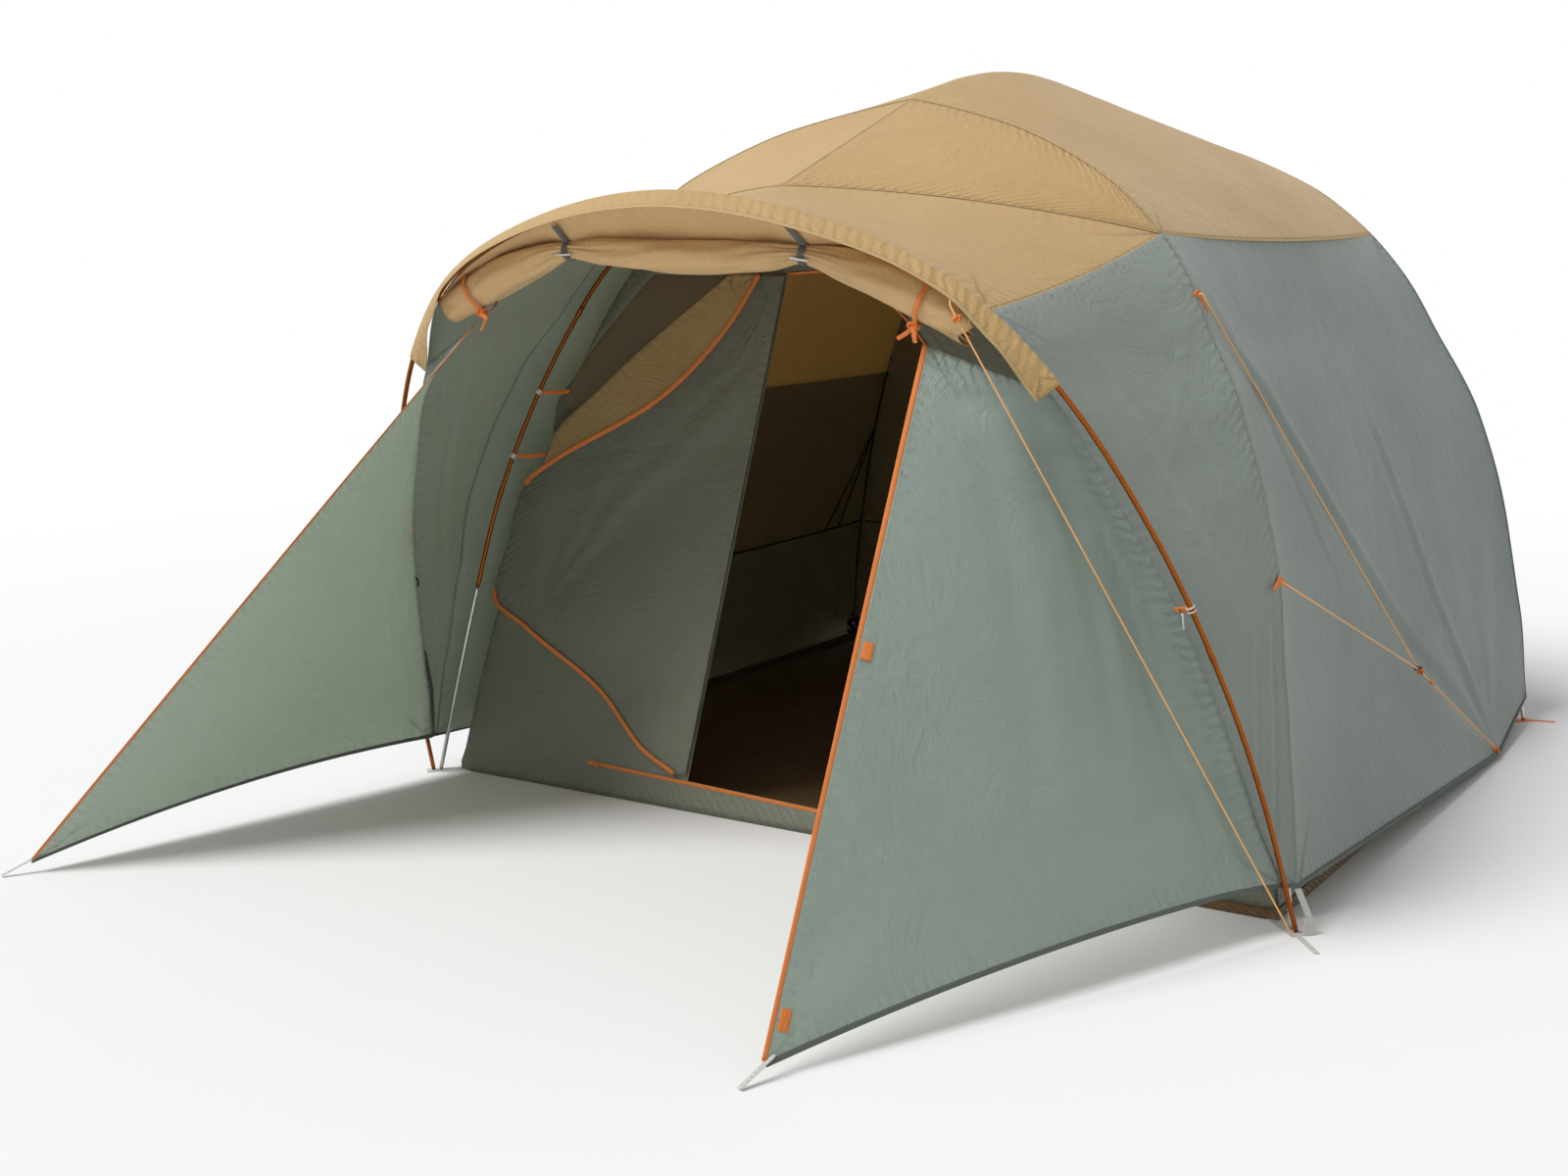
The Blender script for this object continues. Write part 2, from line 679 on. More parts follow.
def grid_faces(rows: int, columns: int, start: int = 0, closed: bool = False) -> Array:
    """Return the quads of a grid of vertices, whose normals point along rows cross columns.

    Args:
        rows: Vertices down the grid.
        columns: Vertices across it.
        start: The number of its first vertex.
        closed: Whether the last column joins the first.

    Returns:
        The quads' vertex numbers.
    """
    index = start + np.arange(rows * columns).reshape(rows, columns)
    if closed:
        index = np.hstack([index, index[:, :1]])
    return np.stack([index[:-1, :-1], index[1:, :-1], index[1:, 1:], index[:-1, 1:]], axis=-1).reshape(-1, 4)


def grid_normals(grid: Array) -> Array:
    """Return the unit normals of a grid of points, rows cross columns."""
    return unit(np.cross(np.gradient(grid, axis=0), np.gradient(grid, axis=1)))


def link(name: str, data: bpy.types.ID) -> bpy.types.Object:
    """Put a camera, a lamp or a mesh in the scene."""
    made = bpy.data.objects.new(name, data)
    bpy.context.scene.collection.objects.link(made)
    return made


def new_piece(name: str, points: Array, faces: list, look: Look, body: str = "tent", uv: Array | None = None,
              smooth: bool = True, **attributes: Array) -> bpy.types.Object:
    """Put a mesh in the scene, with its map and attributes, riding on a body.

    Args:
        name: The piece's name.
        points: Its vertices.
        faces: Its faces as lists of vertex numbers.
        look: Its finish.
        body: The body that it moves with.
        uv: Map coordinates for each vertex, in metres.
        smooth: Whether its faces are shaded smooth.
        attributes: Values for each vertex by name.

    Returns:
        The piece.
    """
    mesh = bpy.data.meshes.new(name)
    mesh.from_pydata(np.asarray(points).tolist(), [], faces)
    for key, values in attributes.items():
        mesh.attributes.new(key, "FLOAT", "POINT").data.foreach_set("value", values.astype(np.float32).ravel())
    if uv is not None:
        corner = np.empty(len(mesh.loops), dtype=np.int32)
        mesh.loops.foreach_get("vertex_index", corner)
        mesh.uv_layers.new(name="cloth").data.foreach_set("uv", uv[corner].astype(np.float32).ravel())
    if smooth:
        mesh.shade_smooth()
    mesh.materials.append(look.material)
    piece = link(name, mesh)
    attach(piece, body)
    LOG.info("%s: %d faces on %s", name, len(mesh.polygons), body)
    return piece


def shell_faces(rows: int, columns: int) -> list:
    """Return the faces of a grid doubled into a closed thin shell: two layers and a rim.

    Args:
        rows: Vertices down the grid.
        columns: Vertices across it.

    Returns:
        The faces as lists of vertex numbers.
    """
    count = rows * columns
    outer = grid_faces(rows, columns)
    inner = grid_faces(rows, columns, count)[:, ::-1]
    index = np.arange(count).reshape(rows, columns)
    rim = np.concatenate([index[0, :-1], index[:-1, -1], index[-1, 1:][::-1], index[1:, 0][::-1]])
    after = np.roll(rim, -1)
    sides = np.stack([rim, after, after + count, rim + count], axis=1)
    return np.vstack([outer, inner, sides]).tolist()


def shell_points(grid: Array, wall: float, offset: float) -> Array:
    """Return both layers of a thin shell around a grid, its middle shifted along the normals."""
    normal = grid_normals(grid)
    return np.vstack([(grid + normal * (offset + wall / 2)).reshape(-1, 3),
                      (grid + normal * (offset - wall / 2)).reshape(-1, 3)])


@dataclass(frozen=True)
class Fold:
    """A kind of relief in cloth."""

    def relief(self, u: Array, v: Array) -> Array:
        """Return its height at each point.

        Args:
            u: Distance across the cloth.
            v: Distance down the cloth.

        Returns:
            The height at each point.
        """
        raise NotImplementedError


@dataclass(frozen=True)
class Creases(Fold):
    """Straight pressed creases, each a bell-shaped ridge that fades towards its ends."""

    seed: int
    count: int = 70
    height: float = 0.0009
    width: float = 0.010
    reach: float = 0.16

    def relief(self, u: Array, v: Array) -> Array:
        """Return the sum of the ridges: height x exp(-(across/width)^2 - (along/reach)^2)."""
        draw = np.random.default_rng(self.seed)
        turn = draw.uniform(0.0, math.pi, self.count)
        at_u = draw.uniform(u.min(), u.max(), self.count)
        at_v = draw.uniform(v.min(), v.max(), self.count)
        size = self.height * draw.uniform(-1.0, 1.0, self.count)
        wide = self.width * draw.uniform(0.6, 1.8, self.count)
        long = self.reach * draw.uniform(0.4, 1.5, self.count)
        du, dv = u.ravel()[None] - at_u[:, None], v.ravel()[None] - at_v[:, None]
        cos, sin = np.cos(turn)[:, None], np.sin(turn)[:, None]
        run, gap = du * cos + dv * sin, dv * cos - du * sin
        ridges = np.exp(-((gap / wide[:, None]) ** 2) - (run / long[:, None]) ** 2)
        return (size[:, None] * ridges).sum(axis=0).reshape(u.shape)


@dataclass(frozen=True)
class Fan(Fold):
    """Tension folds that spread from the point where cloth is pulled."""

    at: tuple[float, float]
    folds: float = 9.0
    height: float = 0.004
    reach: float = 0.45

    def relief(self, u: Array, v: Array) -> Array:
        """Return uneven waves round the point, about folds of them: (r/reach) x exp(1 - r/reach)."""
        du, dv = u - self.at[0] * u.max(), v - self.at[1] * v.max()
        share = np.hypot(du, dv) / self.reach
        angle = np.arctan2(dv, du)
        wave = np.sin(self.folds * angle + 2.2 * np.sin(3.0 * angle))
        return self.height * wave * (0.6 + 0.4 * np.sin(5.0 * angle + 1.0)) * share * np.exp(1.0 - share)


@dataclass(frozen=True)
class Ridge(Fold):
    """One straight fold under tension, from a start to an end given as shares of the panel."""

    start: tuple[float, float]
    end: tuple[float, float]
    height: float = 0.006
    width: float = 0.018

    def relief(self, u: Array, v: Array) -> Array:
        """Return the fold: height x (1 - (2t-1)^4) x exp(-(across/width)^2), with a trough beside it."""
        size = np.array([u.max(), v.max()])
        start, end = np.array(self.start) * size, np.array(self.end) * size
        way = (end - start) / np.linalg.norm(end - start)
        run = ((u - start[0]) * way[0] + (v - start[1]) * way[1]) / np.linalg.norm(end - start)
        gap = ((v - start[1]) * way[0] - (u - start[0]) * way[1]) / self.width
        fade = np.clip(1.0 - (2.0 * run - 1.0) ** 4, 0.0, 1.0) * (np.abs(run - 0.5) < 0.5)
        return self.height * fade * (np.exp(-gap ** 2) - 0.6 * np.exp(-(gap - 1.9) ** 2))


@dataclass
class Panel:
    """One sewn panel: a grid of points that becomes a thin closed sheet with folds and a weave map.

    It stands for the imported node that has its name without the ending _cloth, if there is one.
    """

    name: str
    grid: Array
    look: Look
    flip: bool = False
    held: str = "stretched"
    body: str = "tent"
    rests_on: tuple[str, ...] = ()
    folds: tuple[Fold, ...] = ()
    lift: float = CLOTH_LIFT
    wall: float = CLOTH_WALL
    fade: float = 0.035
    extra: Array | float = 0.0

    def build(self) -> Array:
        """The relief of the folds is added along the normals and fades to nought at the sewn edges.

        Returns:
            The points of its outer layer, on the grid as it was given.
        """
        grid = self.grid
        across_step = np.linalg.norm(np.diff(grid, axis=1), axis=2)
        down_step = np.linalg.norm(np.diff(grid, axis=0), axis=2)
        u = np.hstack([np.zeros((len(grid), 1)), np.cumsum(across_step, axis=1)])
        v = np.vstack([np.zeros((1, grid.shape[1])), np.cumsum(down_step, axis=0)])
        relief = sum((fold.relief(u, v) for fold in self.folds), np.zeros_like(u)) + self.extra
        if self.flip:
            grid, relief, u, v = (a[:, ::-1] for a in (grid, relief, u, v))
        wide = np.maximum(u[:, :1], u[:, -1:])
        gaps = np.stack([u, wide - u, v, v[-1:] - v])
        edge = gaps.min(axis=0)
        relief = relief * (1.0 - np.exp(-((edge / self.fade) ** 2)))
        points = shell_points(grid + grid_normals(grid) * relief[..., None], self.wall, self.lift)
        along = np.where(gaps[:2].min(axis=0) < gaps[2:].min(axis=0), v, u)
        uv = np.tile(np.stack([u.ravel(), v.ravel()], axis=1), (2, 1))
        piece = new_piece(self.name, points, shell_faces(*u.shape), self.look, self.body, uv,
                          edge=np.tile(edge.ravel(), 2), along=np.tile(along.ravel(), 2))
        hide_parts(*(node for node in [self.name.removesuffix("_cloth")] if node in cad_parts))
        surface = points[:u.size].reshape(grid.shape)
        return surface[:, ::-1] if self.flip else surface


def tube(name: str, line: Array, side: Array, wide: Array | float, deep: Array | float, look: Look,
         body: str = "tent", sides: int = 16) -> bpy.types.Object:
    """Carry an ellipse along a line: line + wide x cos(a) x side + deep x sin(a) x (side x direction).

    Args:
        name: The piece's name.
        line: The centre line.
        side: The direction of the section's first half axis, at each point or for all.
        wide: Its first half axis.
        deep: Its second half axis.
        look: Its finish.
        body: The body that it moves with.
        sides: Points round the section.

    Returns:
        The piece, closed at both ends.
    """
    way = tangents(line)
    side = np.broadcast_to(np.asarray(side, float), line.shape)
    side = unit(side - way * (side * way).sum(axis=1, keepdims=True))
    up = np.cross(way, side)
    angle = np.arange(sides) * math.tau / sides
    wide = np.broadcast_to(np.asarray(wide, float), len(line))[:, None, None]
    deep = np.broadcast_to(np.asarray(deep, float), len(line))[:, None, None]
    ring = (line[:, None] + wide * side[:, None] * np.cos(angle)[None, :, None]
            + deep * up[:, None] * np.sin(angle)[None, :, None])
    faces = grid_faces(len(line), sides, closed=True)[:, ::-1].tolist()
    faces.append(list(range(sides))[::-1])
    faces.append(list(range((len(line) - 1) * sides, len(line) * sides)))
    run = np.repeat(run_of(line), sides)
    uv = np.stack([np.tile(angle / math.tau, len(line)), run], axis=1)
    return new_piece(name, ring.reshape(-1, 3), faces, look, body, uv)


def ribbon(name: str, line: Array, normal: Array, width: float, thick: float, look: Look,
           body: str = "tent") -> bpy.types.Object:
    """Lay a flat tape along a line, its face square to a normal; its section is a flattened ellipse."""
    side = np.cross(normal, tangents(line))
    return tube(name, line, side, width / 2, thick / 2, look, body, sides=12)


def tape(name: str, line: Array, out: Array, width: float, thick: float, look: Look, lift: float = CLOTH_LIFT,
         body: str = "tent") -> bpy.types.Object:
    """Lay a ribbon whose whole face looks one way, lifted that way off the cloth."""
    return ribbon(name, line + out * lift, np.broadcast_to(out, line.shape), width, thick, look, body)


# Rain fly


@dataclass
class RainFly:
    """The fly over the poles: roof, gables, sides, rear, and the seams and hems between them."""

    rows: int = LINES.rows
    side_columns: int = 181
    side_sag: float = 0.113
    eave_sag: float = 0.018
    peg: Colour = (1.345, 0.660, 0.012)
    peg_step: float = 0.78
    roof_settle: float = 0.0024
    gable_rows: int = 41
    seam_width: float = 0.008
    seam_lift: float = 0.0016

    def side(self) -> Array:
        """Return the right side: lines from the front to the rear corner, drawn in and pulled to the peg.

        It draws in by sag x (4u(1-u))^0.8 x sin(pi v)^0.75, and its foot runs to the peg with v^2.5.
        """
        front, rear = LINES.corner(False)[0], LINES.corner(True)[0]
        u = np.linspace(0.0, 1.0, self.side_columns)[None, :]
        v = np.linspace(0.0, 1.0, self.rows)[:, None]
        grid = front[:, None] + (rear - front)[:, None] * u[..., None]
        grid[..., 0] -= self.side_sag * bump_at(u) ** 0.8 * np.sin(math.pi * v) ** 0.75
        grid[..., 2] -= self.eave_sag * bump_at(u) * (1.0 - v)
        pull = np.array(self.peg) - (front[-1] + (rear[-1] - front[-1]) * self.peg_step)
        reach = np.where(u < self.peg_step, u / self.peg_step, (1.0 - u) / (1.0 - self.peg_step))
        return grid + pull * (reach * v ** 2.5)[..., None]

    def roof(self) -> Array:
        """Return the roof: lines from the front arch to the rear arch, raised between over the ridge pole."""
        front, rear = across(LINES.corner(False)[1]), across(LINES.corner(True)[1])
        u = np.linspace(0.0, 1.0, self.side_columns)
        grid = ruled(front, rear, u)
        t = np.abs(front[:, 0]) / front[-1, 0]
        rise = (LINES.ridge_rise - self.roof_settle) * (1.0 - t) ** 1.35 - self.eave_sag * t
        grid[..., 2] += bump_at(u)[:, None] * rise[None]
        return grid

    def gable(self, rear: bool) -> Array:
        """Return a gable between the arch over the hub and the seam to the ridge pole's end.

        Args:
            rear: Whether it is the rear gable.

        Returns:
            Its grid.
        """
        top, low = across(LINES.corner(rear)[1]), across(LINES.eave_seam(rear))
        grid = ruled(top, low, np.linspace(0.0, 1.0, self.gable_rows))
        grid[:, 0] = grid[:, 0] + (grid[:, 1] - grid[:, 0]) * 0.2
        grid[:, -1] = grid[:, -1] + (grid[:, -2] - grid[:, -1]) * 0.2
        return grid

    def rear(self) -> Array:
        """Return the rear panel: level lines between the rear corners, bulged towards the seam at the top."""
        seam, corner = across(LINES.eave_seam(True)), LINES.corner(True)[0]
        v = np.linspace(0.0, 1.0, self.rows)
        t = ((seam[:, 0] / seam[-1, 0] + 1.0) / 2.0)[None, :, None]
        left = mirrored(corner)[:, None]
        level = left + (corner[:, None] - left) * t
        edge = mirrored(corner[0]) + (corner[0] - mirrored(corner[0])) * t[0]
        return level + (seam - edge)[None] * ((1.0 - v) ** 1.3)[:, None, None]

    def build(self) -> None:
        """Build the panels, then the seams and hems."""
        side, rear = self.side(), self.rear()
        Panel("fly_roof_cloth", self.roof(), Look.TAN, True,
              rests_on=("hub_front", "hub_rear", "ridge_pole_middle"),
              folds=(Creases(11, 150, 0.0007, 0.009), Creases(12, 30, 0.0012, 0.03, 0.3))).build()
        for end, is_rear in ENDS:
            Panel(f"fly_gable_{end}_cloth", self.gable(is_rear), Look.TAN, is_rear, rests_on=(f"hub_{end}",),
                  folds=(Creases(13 + is_rear, 70, 0.0007, 0.009),)).build()
        pulls = (Fan((0.78, 1.0), 15.0, 0.0032, 0.40), Fan((0.0, 0.52), 13.0, 0.0026, 0.25),
                 Ridge((0.0, 0.08), (0.52, 0.66), 0.0060, 0.016), Ridge((0.01, 0.06), (0.72, 0.90), 0.0070, 0.024),
                 Ridge((0.02, 0.10), (0.35, 0.62), 0.0045, 0.014), Ridge((0.55, 0.30), (0.78, 0.98), 0.0060, 0.020),
                 Ridge((0.05, 0.95), (0.74, 0.99), 0.0050, 0.022))
        for name, sign in SIDES:
            Panel(f"fly_side_{name}_cloth", side * side_of(sign), Look.GREY_SHADED, sign < 0,
                  rests_on=(f"corner_tab_front_{name}", "hub_front"),
                  folds=(Creases(20 + (sign < 0), 150, 0.0008, 0.009), Creases(23, 30, 0.0026, 0.04, 0.35),
                         *pulls)).build()
        Panel("fly_rear_cloth", rear, Look.GREY_SHADED, True, rests_on=("hub_rear",),
              folds=(Creases(25, 150, 0.0008, 0.009), Creases(26, 30, 0.0026, 0.04, 0.35),
                     Fan((0.0, 1.0), 9.0, 0.003), Fan((1.0, 1.0), 9.0, 0.003))).build()
        self.build_seams(side, rear)

    def build_seams(self, side: Array, rear: Array) -> None:
        """Build the felled seams over the joins and the bound hems.

        Args:
            side: The right side's grid.
            rear: The rear's grid.
        """
        wide = self.seam_width
        for end, is_rear in ENDS:
            ridge = LINES.corner(is_rear)[1]
            mirror = flipped if is_rear else np.array
            up = across(mirror(LINES.outward(mirror(ridge)[::-1])[::-1]))
            ribbon(f"seam_arch_{end}", across(ridge) + up * self.seam_lift, up, wide, SEAM_THICK, Look.SEAM)
            lean = unit(np.array([0.0, 0.45 if is_rear else -0.45, 1.0]))
            tape(f"seam_eave_{end}", across(LINES.eave_seam(is_rear)), lean, wide, SEAM_THICK,
                 Look.SEAM_GREY if is_rear else Look.SEAM, 0.001)
        lift = UP * 0.005
        for name, sign in SIDES:
            turn = side_of(sign)
            for seam, line, out, look in (("corner_front", side[:, 0], (0.62, -0.52, 0.15), Look.SEAM_GREY),
                                          ("corner_rear", side[:, -1], (0.62, 0.52, 0.15), Look.SEAM_GREY),
                                          ("side", side[0], (0.8, 0.0, 0.6), Look.SEAM)):
                tape(f"seam_{seam}_{name}", line * turn, unit(np.array(out)) * turn, wide, SEAM_THICK, look)
            tape(f"hem_side_{name}", side[-1] * turn + lift, RIGHT * turn, HEM_WIDTH, HEM_THICK, Look.HEM)
        tape("hem_rear", rear[-1] + lift, INTO, HEM_WIDTH, HEM_THICK, Look.HEM)
        gable, out = self.gable(False), unit(np.array([0.0, -0.35, 1.0]))
        tape("seam_gable_front", gable[:, gable.shape[1] // 2], out, wide, SEAM_THICK, Look.SEAM, self.seam_lift)


# Porch


@dataclass
class Porch:
    """The porch in front of the legs: its roof, sides, brow, wings, zips and webbing."""

    rows: int = LINES.rows
    columns: int = 61
    sag: float = 0.017
    wing_columns: int = 121
    wing_share: float = 2.0 / 14.0
    top_right: Colour = (0.600, -1.722, 1.345)
    peg_right: Colour = (0.722, -2.560, 0.026)
    top_left: Colour = (-0.690, -1.722, 1.352)
    peg_left: Colour = (-1.503, -2.500, 0.026)
    loop_height: float = 0.62
    loop: float = 0.085
    loop_rise: float = 0.0046
    dent: Table = ((0.0, 0.0), (0.08, 0.031), (0.15, 0.057), (0.27, 0.072), (0.42, 0.082), (0.60, 0.079),
                   (0.80, 0.052), (0.90, 0.032), (1.0, 0.016))
    dent_at: float = 0.12
    ripple: float = 0.006
    zip_width: float = 0.0115
    sleeve: float = 0.00845
    brow_reach: float = 0.900
    brow_drop: Table = ((0.0, 0.010), (0.58, 0.005), (0.70, 0.007), (0.80, 0.024), (0.90, 0.050))
    brow_flare: Table = ((0.0, 0.042), (0.35, 0.038), (0.60, 0.027), (0.70, 0.024), (0.80, 0.022), (0.90, 0.008))

    def roof(self) -> Array:
        """Return the porch roof: lines from the shoulder seam to the arch, each sagging as a parabola."""
        seam, ridge = LINES.eave_seam(False), LINES.corner(False)[1]
        edge = LINES.porch_edge
        turn = length_at(edge, LINES.tan_reach, 0)
        front = at_length(edge, turn * ridge[:, 0] / ridge[0, 0])
        c = np.linspace(0.0, 1.0, self.columns)
        grid = ruled(across(seam), across(front), c)
        grid[..., 2] -= self.sag * bump_at(c)[:, None]
        return grid

    def fold(self) -> Array:
        """Return the porch side's front edge, from where tan turns to grey down to the hem."""
        edge = LINES.porch_edge
        turn = length_at(edge, LINES.tan_reach, 0)
        low = run_of(edge)[-1] - length_at(edge[::-1], LINES.hem_front + 0.008)
        return spaced(edge, turn, low, self.rows)

    def side(self) -> Array:
        """Return the right porch side: lines from the fly's corner to the fold, sagging near the top."""
        corner = LINES.corner(False)[0]
        c = np.linspace(0.0, 1.0, self.columns)[None, :]
        v = np.linspace(0.0, 1.0, self.rows)[:, None]
        grid = corner[:, None] + (self.fold() - corner)[:, None] * c[..., None]
        grid[..., 2] -= self.sag * bump_at(c) * (1.0 - v)
        return grid

    def wing(self, right: bool) -> Array:
        """Return a wing from its fold behind the pole to its zipped edge.

        Its foot lifts by 0.035 x 4c(1-c) x v^4. The right one is pressed in by the brow's line, by the
        dent at v times c/c0 x exp(1 - c/c0); the left one ripples as sin(pi v) x sin(9 pi c) x (1-c)^1.5.

        Args:
            right: Whether it is the right wing.

        Returns:
            Its grid.
        """
        fold = self.fold()
        hinge = spaced(fold, run_of(fold)[-1] * self.wing_share, run_of(fold)[-1], self.rows)
        hinge = hinge if right else mirrored(hinge)
        ends = (self.top_right, self.peg_right) if right else (self.top_left, self.peg_left)
        top, peg = (np.array(end) for end in ends)
        v = np.linspace(0.0, 1.0, self.rows)[:, None]
        c = np.linspace(0.0, 1.0, self.wing_columns)[None, :]
        end = top + (peg - top) * v
        grid = hinge[:, None] + (end - hinge)[:, None] * c[..., None]
        grid[..., 2] += 0.035 * bump_at(c) * v ** 4
        if right:
            share = c / self.dent_at
            press = table_at(self.dent, v) * share * np.exp(1.0 - share)
            return grid + np.array([-0.80, 0.60, 0.0]) * press[..., None]
        grid[..., 1] += self.ripple * np.sin(math.pi * v) * np.sin(9.0 * math.pi * c) * (1.0 - c) ** 1.5
        return grid

    def brow(self) -> Array:
        """Return the brow: a sleeve round the pole that runs on forward as a visor.

        Round the pole it is a circle from behind to just before the top; from there a curve of the
        second degree leaves along the circle's tangent and ends at the tables' flare and drop.
        """
        line = LINES.porch[::-1]
        half = spaced(line, 0.0, length_at(line, self.brow_reach, 0), 151)
        side = -LINES.inward(half[::-1])[::-1][:, None]
        angle = np.radians(np.linspace(180.0, 72.0, 19))[None, :, None]
        sleeve = self.sleeve * (side * np.sin(angle) + LINES.forward * np.cos(angle))
        start = sleeve[:, -1:]
        leave = side * -math.cos(angle[0, -1, 0]) + LINES.forward * math.sin(angle[0, -1, 0])
        flare = table_at(self.brow_flare, np.abs(half[:, 0]))[:, None, None]
        drop = table_at(self.brow_drop, np.abs(half[:, 0]))[:, None, None]
        end = LINES.forward * (flare + self.sleeve) - side * drop
        middle = start + leave * (flare * 0.62 + 0.006)
        share = np.linspace(0.0, 1.0, 21)[None, 1:, None]
        visor = start * (1.0 - share) ** 2 + middle * 2.0 * share * (1.0 - share) + end * share ** 2
        grid = half[:, None] + np.concatenate([sleeve, visor], axis=1)
        return np.concatenate([mirrored(grid)[::-1], grid[1:]])

    def build(self) -> None:
        """Build the roof, sides, wings and brow with their seams, zips and webbing."""
        Panel("porch_roof_cloth", self.roof(), Look.TAN, True, rests_on=("porch_pole",),
              folds=(Creases(31, 110, 0.0008, 0.009), Creases(32, 16, 0.002, 0.03))).build()
        side = self.side()
        pulls = (Ridge((0.06, 0.55), (0.12, 0.98), 0.0050, 0.012), Ridge((0.13, 0.52), (0.22, 0.97), 0.0045, 0.012),
                 Ridge((0.30, 0.12), (0.08, 0.52), 0.0050, 0.018), Ridge((0.55, 0.15), (0.16, 0.56), 0.0045, 0.018),
                 Ridge((0.80, 0.10), (0.55, 0.70), 0.0050, 0.022), Ridge((0.75, 0.45), (0.60, 0.98), 0.0040, 0.018))
        for name, sign in SIDES:
            turn = side_of(sign)
            Panel(f"porch_side_{name}_cloth", side * turn, Look.GREY_SHADED, sign > 0, rests_on=("porch_pole",),
                  folds=(Creases(33, 70, 0.0008, 0.009), Creases(34 + (sign < 0), 16, 0.0026, 0.03, 0.3),
                         *pulls)).build()
            out = unit(np.array([0.45 * sign, -0.2, 1.0]))
            tape(f"seam_porch_{name}", side[0] * turn, out, 0.007, SEAM_THICK, Look.SEAM, 0.0002)
            out = unit(np.array([sign, -0.5, 0.0]))
            tape(f"hem_porch_{name}", side[-1] * turn + UP * 0.006, out, HEM_WIDTH, HEM_THICK, Look.HEM, 0.0)
        self.build_reinforcement(side)
        for right in (True, False):
            self.build_wing(right)
        self.build_brow()

    def build_reinforcement(self, side: Array) -> None:
        """Build the dark patch at the left porch side's foot and the small loop on its fold.

        Args:
            side: The right porch side's grid.
        """
        inner = mirrored(side[-26:-1, -24:]) + np.array([0.9, 0.43, 0.0]) * 0.0035
        share = 0.12 + 0.88 * np.linspace(0.0, 1.0, 25)[:, None]
        corner = inner[:, -1:]
        patch = corner + (inner - corner) * share[..., None]
        Panel("porch_patch_left", patch, Look.PATCH, lift=0.0, wall=0.0006, fade=0.004).build()
        fold = mirrored(self.fold())[::-1]
        at = length_at(fold, self.loop_height)
        place, ahead = at_length(fold, at), at_length(fold, at + 0.02)
        angle = np.linspace(0.15, math.pi - 0.15, 21)[:, None]
        along = unit(ahead - place)
        out = unit(np.array([0.85, -0.5, 0.0]))
        loop = place + along * np.cos(angle) * 0.016 + out * (np.sin(angle) * 0.020 + 0.002)
        tube("porch_loop_left", loop, np.cross(along, out), 0.0032, 0.0012, Look.PIPING, sides=10)

    def build_wing(self, right: bool) -> None:
        """Build one wing with its hem, zip, webbing loop and, on the right, its two small tabs.

        Args:
            right: Whether it is the right wing.
        """
        name = "right" if right else "left"
        grid = self.wing(right)
        pulls = (Fan((0.0, 0.0), 16.0, 0.0034, 0.30), Fan((1.0, 1.0), 15.0, 0.0020, 0.35),
                 Ridge((0.02, 0.02), (0.10, 0.55), 0.0080, 0.020), Ridge((0.05, 0.04), (0.24, 0.62), 0.0070, 0.026),
                 Ridge((0.03, 0.38), (0.05, 0.97), 0.0080, 0.014), Ridge((0.10, 0.40), (0.09, 0.97), 0.0060, 0.018),
                 Ridge((0.16, 0.05), (0.45, 0.70), 0.0050, 0.035), Ridge((0.97, 0.10), (0.60, 0.95), 0.0035, 0.030))
        creases = (Creases(41 + right, 130, 0.0007, 0.008), Creases(43 + right, 20, 0.0022, 0.04, 0.35))
        surface = Panel(f"wing_{name}_cloth", grid, Look.GREY, not right, rests_on=("porch_pole",),
                        folds=(*creases, *pulls)).build()
        growth = grid_normals(grid) * (1.0 if right else -1.0)
        hem = grid[-1] + growth[-1] * CLOTH_LIFT + unit(grid[-2] - grid[-1]) * 0.005
        ribbon(f"hem_wing_{name}", hem, growth[-1], HEM_WIDTH, 0.0034, Look.HEM)
        away = unit(grid[:, -1] - grid[:, -2])
        line = grid[:, -1] + away * (self.zip_width / 2 + 0.0004) + growth[:, -1] * CLOTH_LIFT
        piece = ribbon(f"zip_wing_{name}", line[:-1], growth[:-1, -1], self.zip_width, 0.0030, Look.ZIP)
        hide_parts(f"wing_zip_{name}")
        self.build_loop(name, grid)
        if right:
            self.build_tabs(surface, growth)

    def build_loop(self, name: str, grid: Array) -> None:
        """Build the peg loop of webbing at a wing's tip.

        Args:
            name: The wing's side.
            grid: The wing's grid.
        """
        corner = grid[-1, -1]
        way = unit(corner - grid[-2, -2])
        end = np.array([*(corner + way * self.loop)[:2], self.loop_rise])
        line = straight(corner - way * 0.030, end, 24)
        tube(f"peg_loop_{name}", line, unit(np.cross(UP, way)), 0.0065, 0.0014, Look.WEBBING, sides=12)

    def build_tabs(self, surface: Array, growth: Array) -> None:
        """Build the two small plain tabs that lie on the right wing beside its zip.

        Args:
            surface: The points of the wing's layer that faces the doorway.
            growth: The directions that lead from there to the wing's other layer.
        """
        rows = np.arange(self.rows)
        for label, low, high, inset in (("upper", 0.445, 0.470, 0.022), ("lower", 0.934, 0.962, 0.028)):
            at = np.linspace(low, high, 9) * (self.rows - 1)
            place = int(round(float(at[4])))
            apart = np.linalg.norm(surface[place] - surface[place, -1], axis=1)
            column = surface[:, int(np.argmin(np.abs(apart - inset)))] - growth[:, -8] * 0.0026
            line = np.stack([np.interp(at, rows, column[:, k]) for k in range(3)], axis=1)
            tape(f"wing_tab_{label}", line, growth[int(at[4]), -5], 0.024, 0.0022, Look.ORANGE, 0.0)

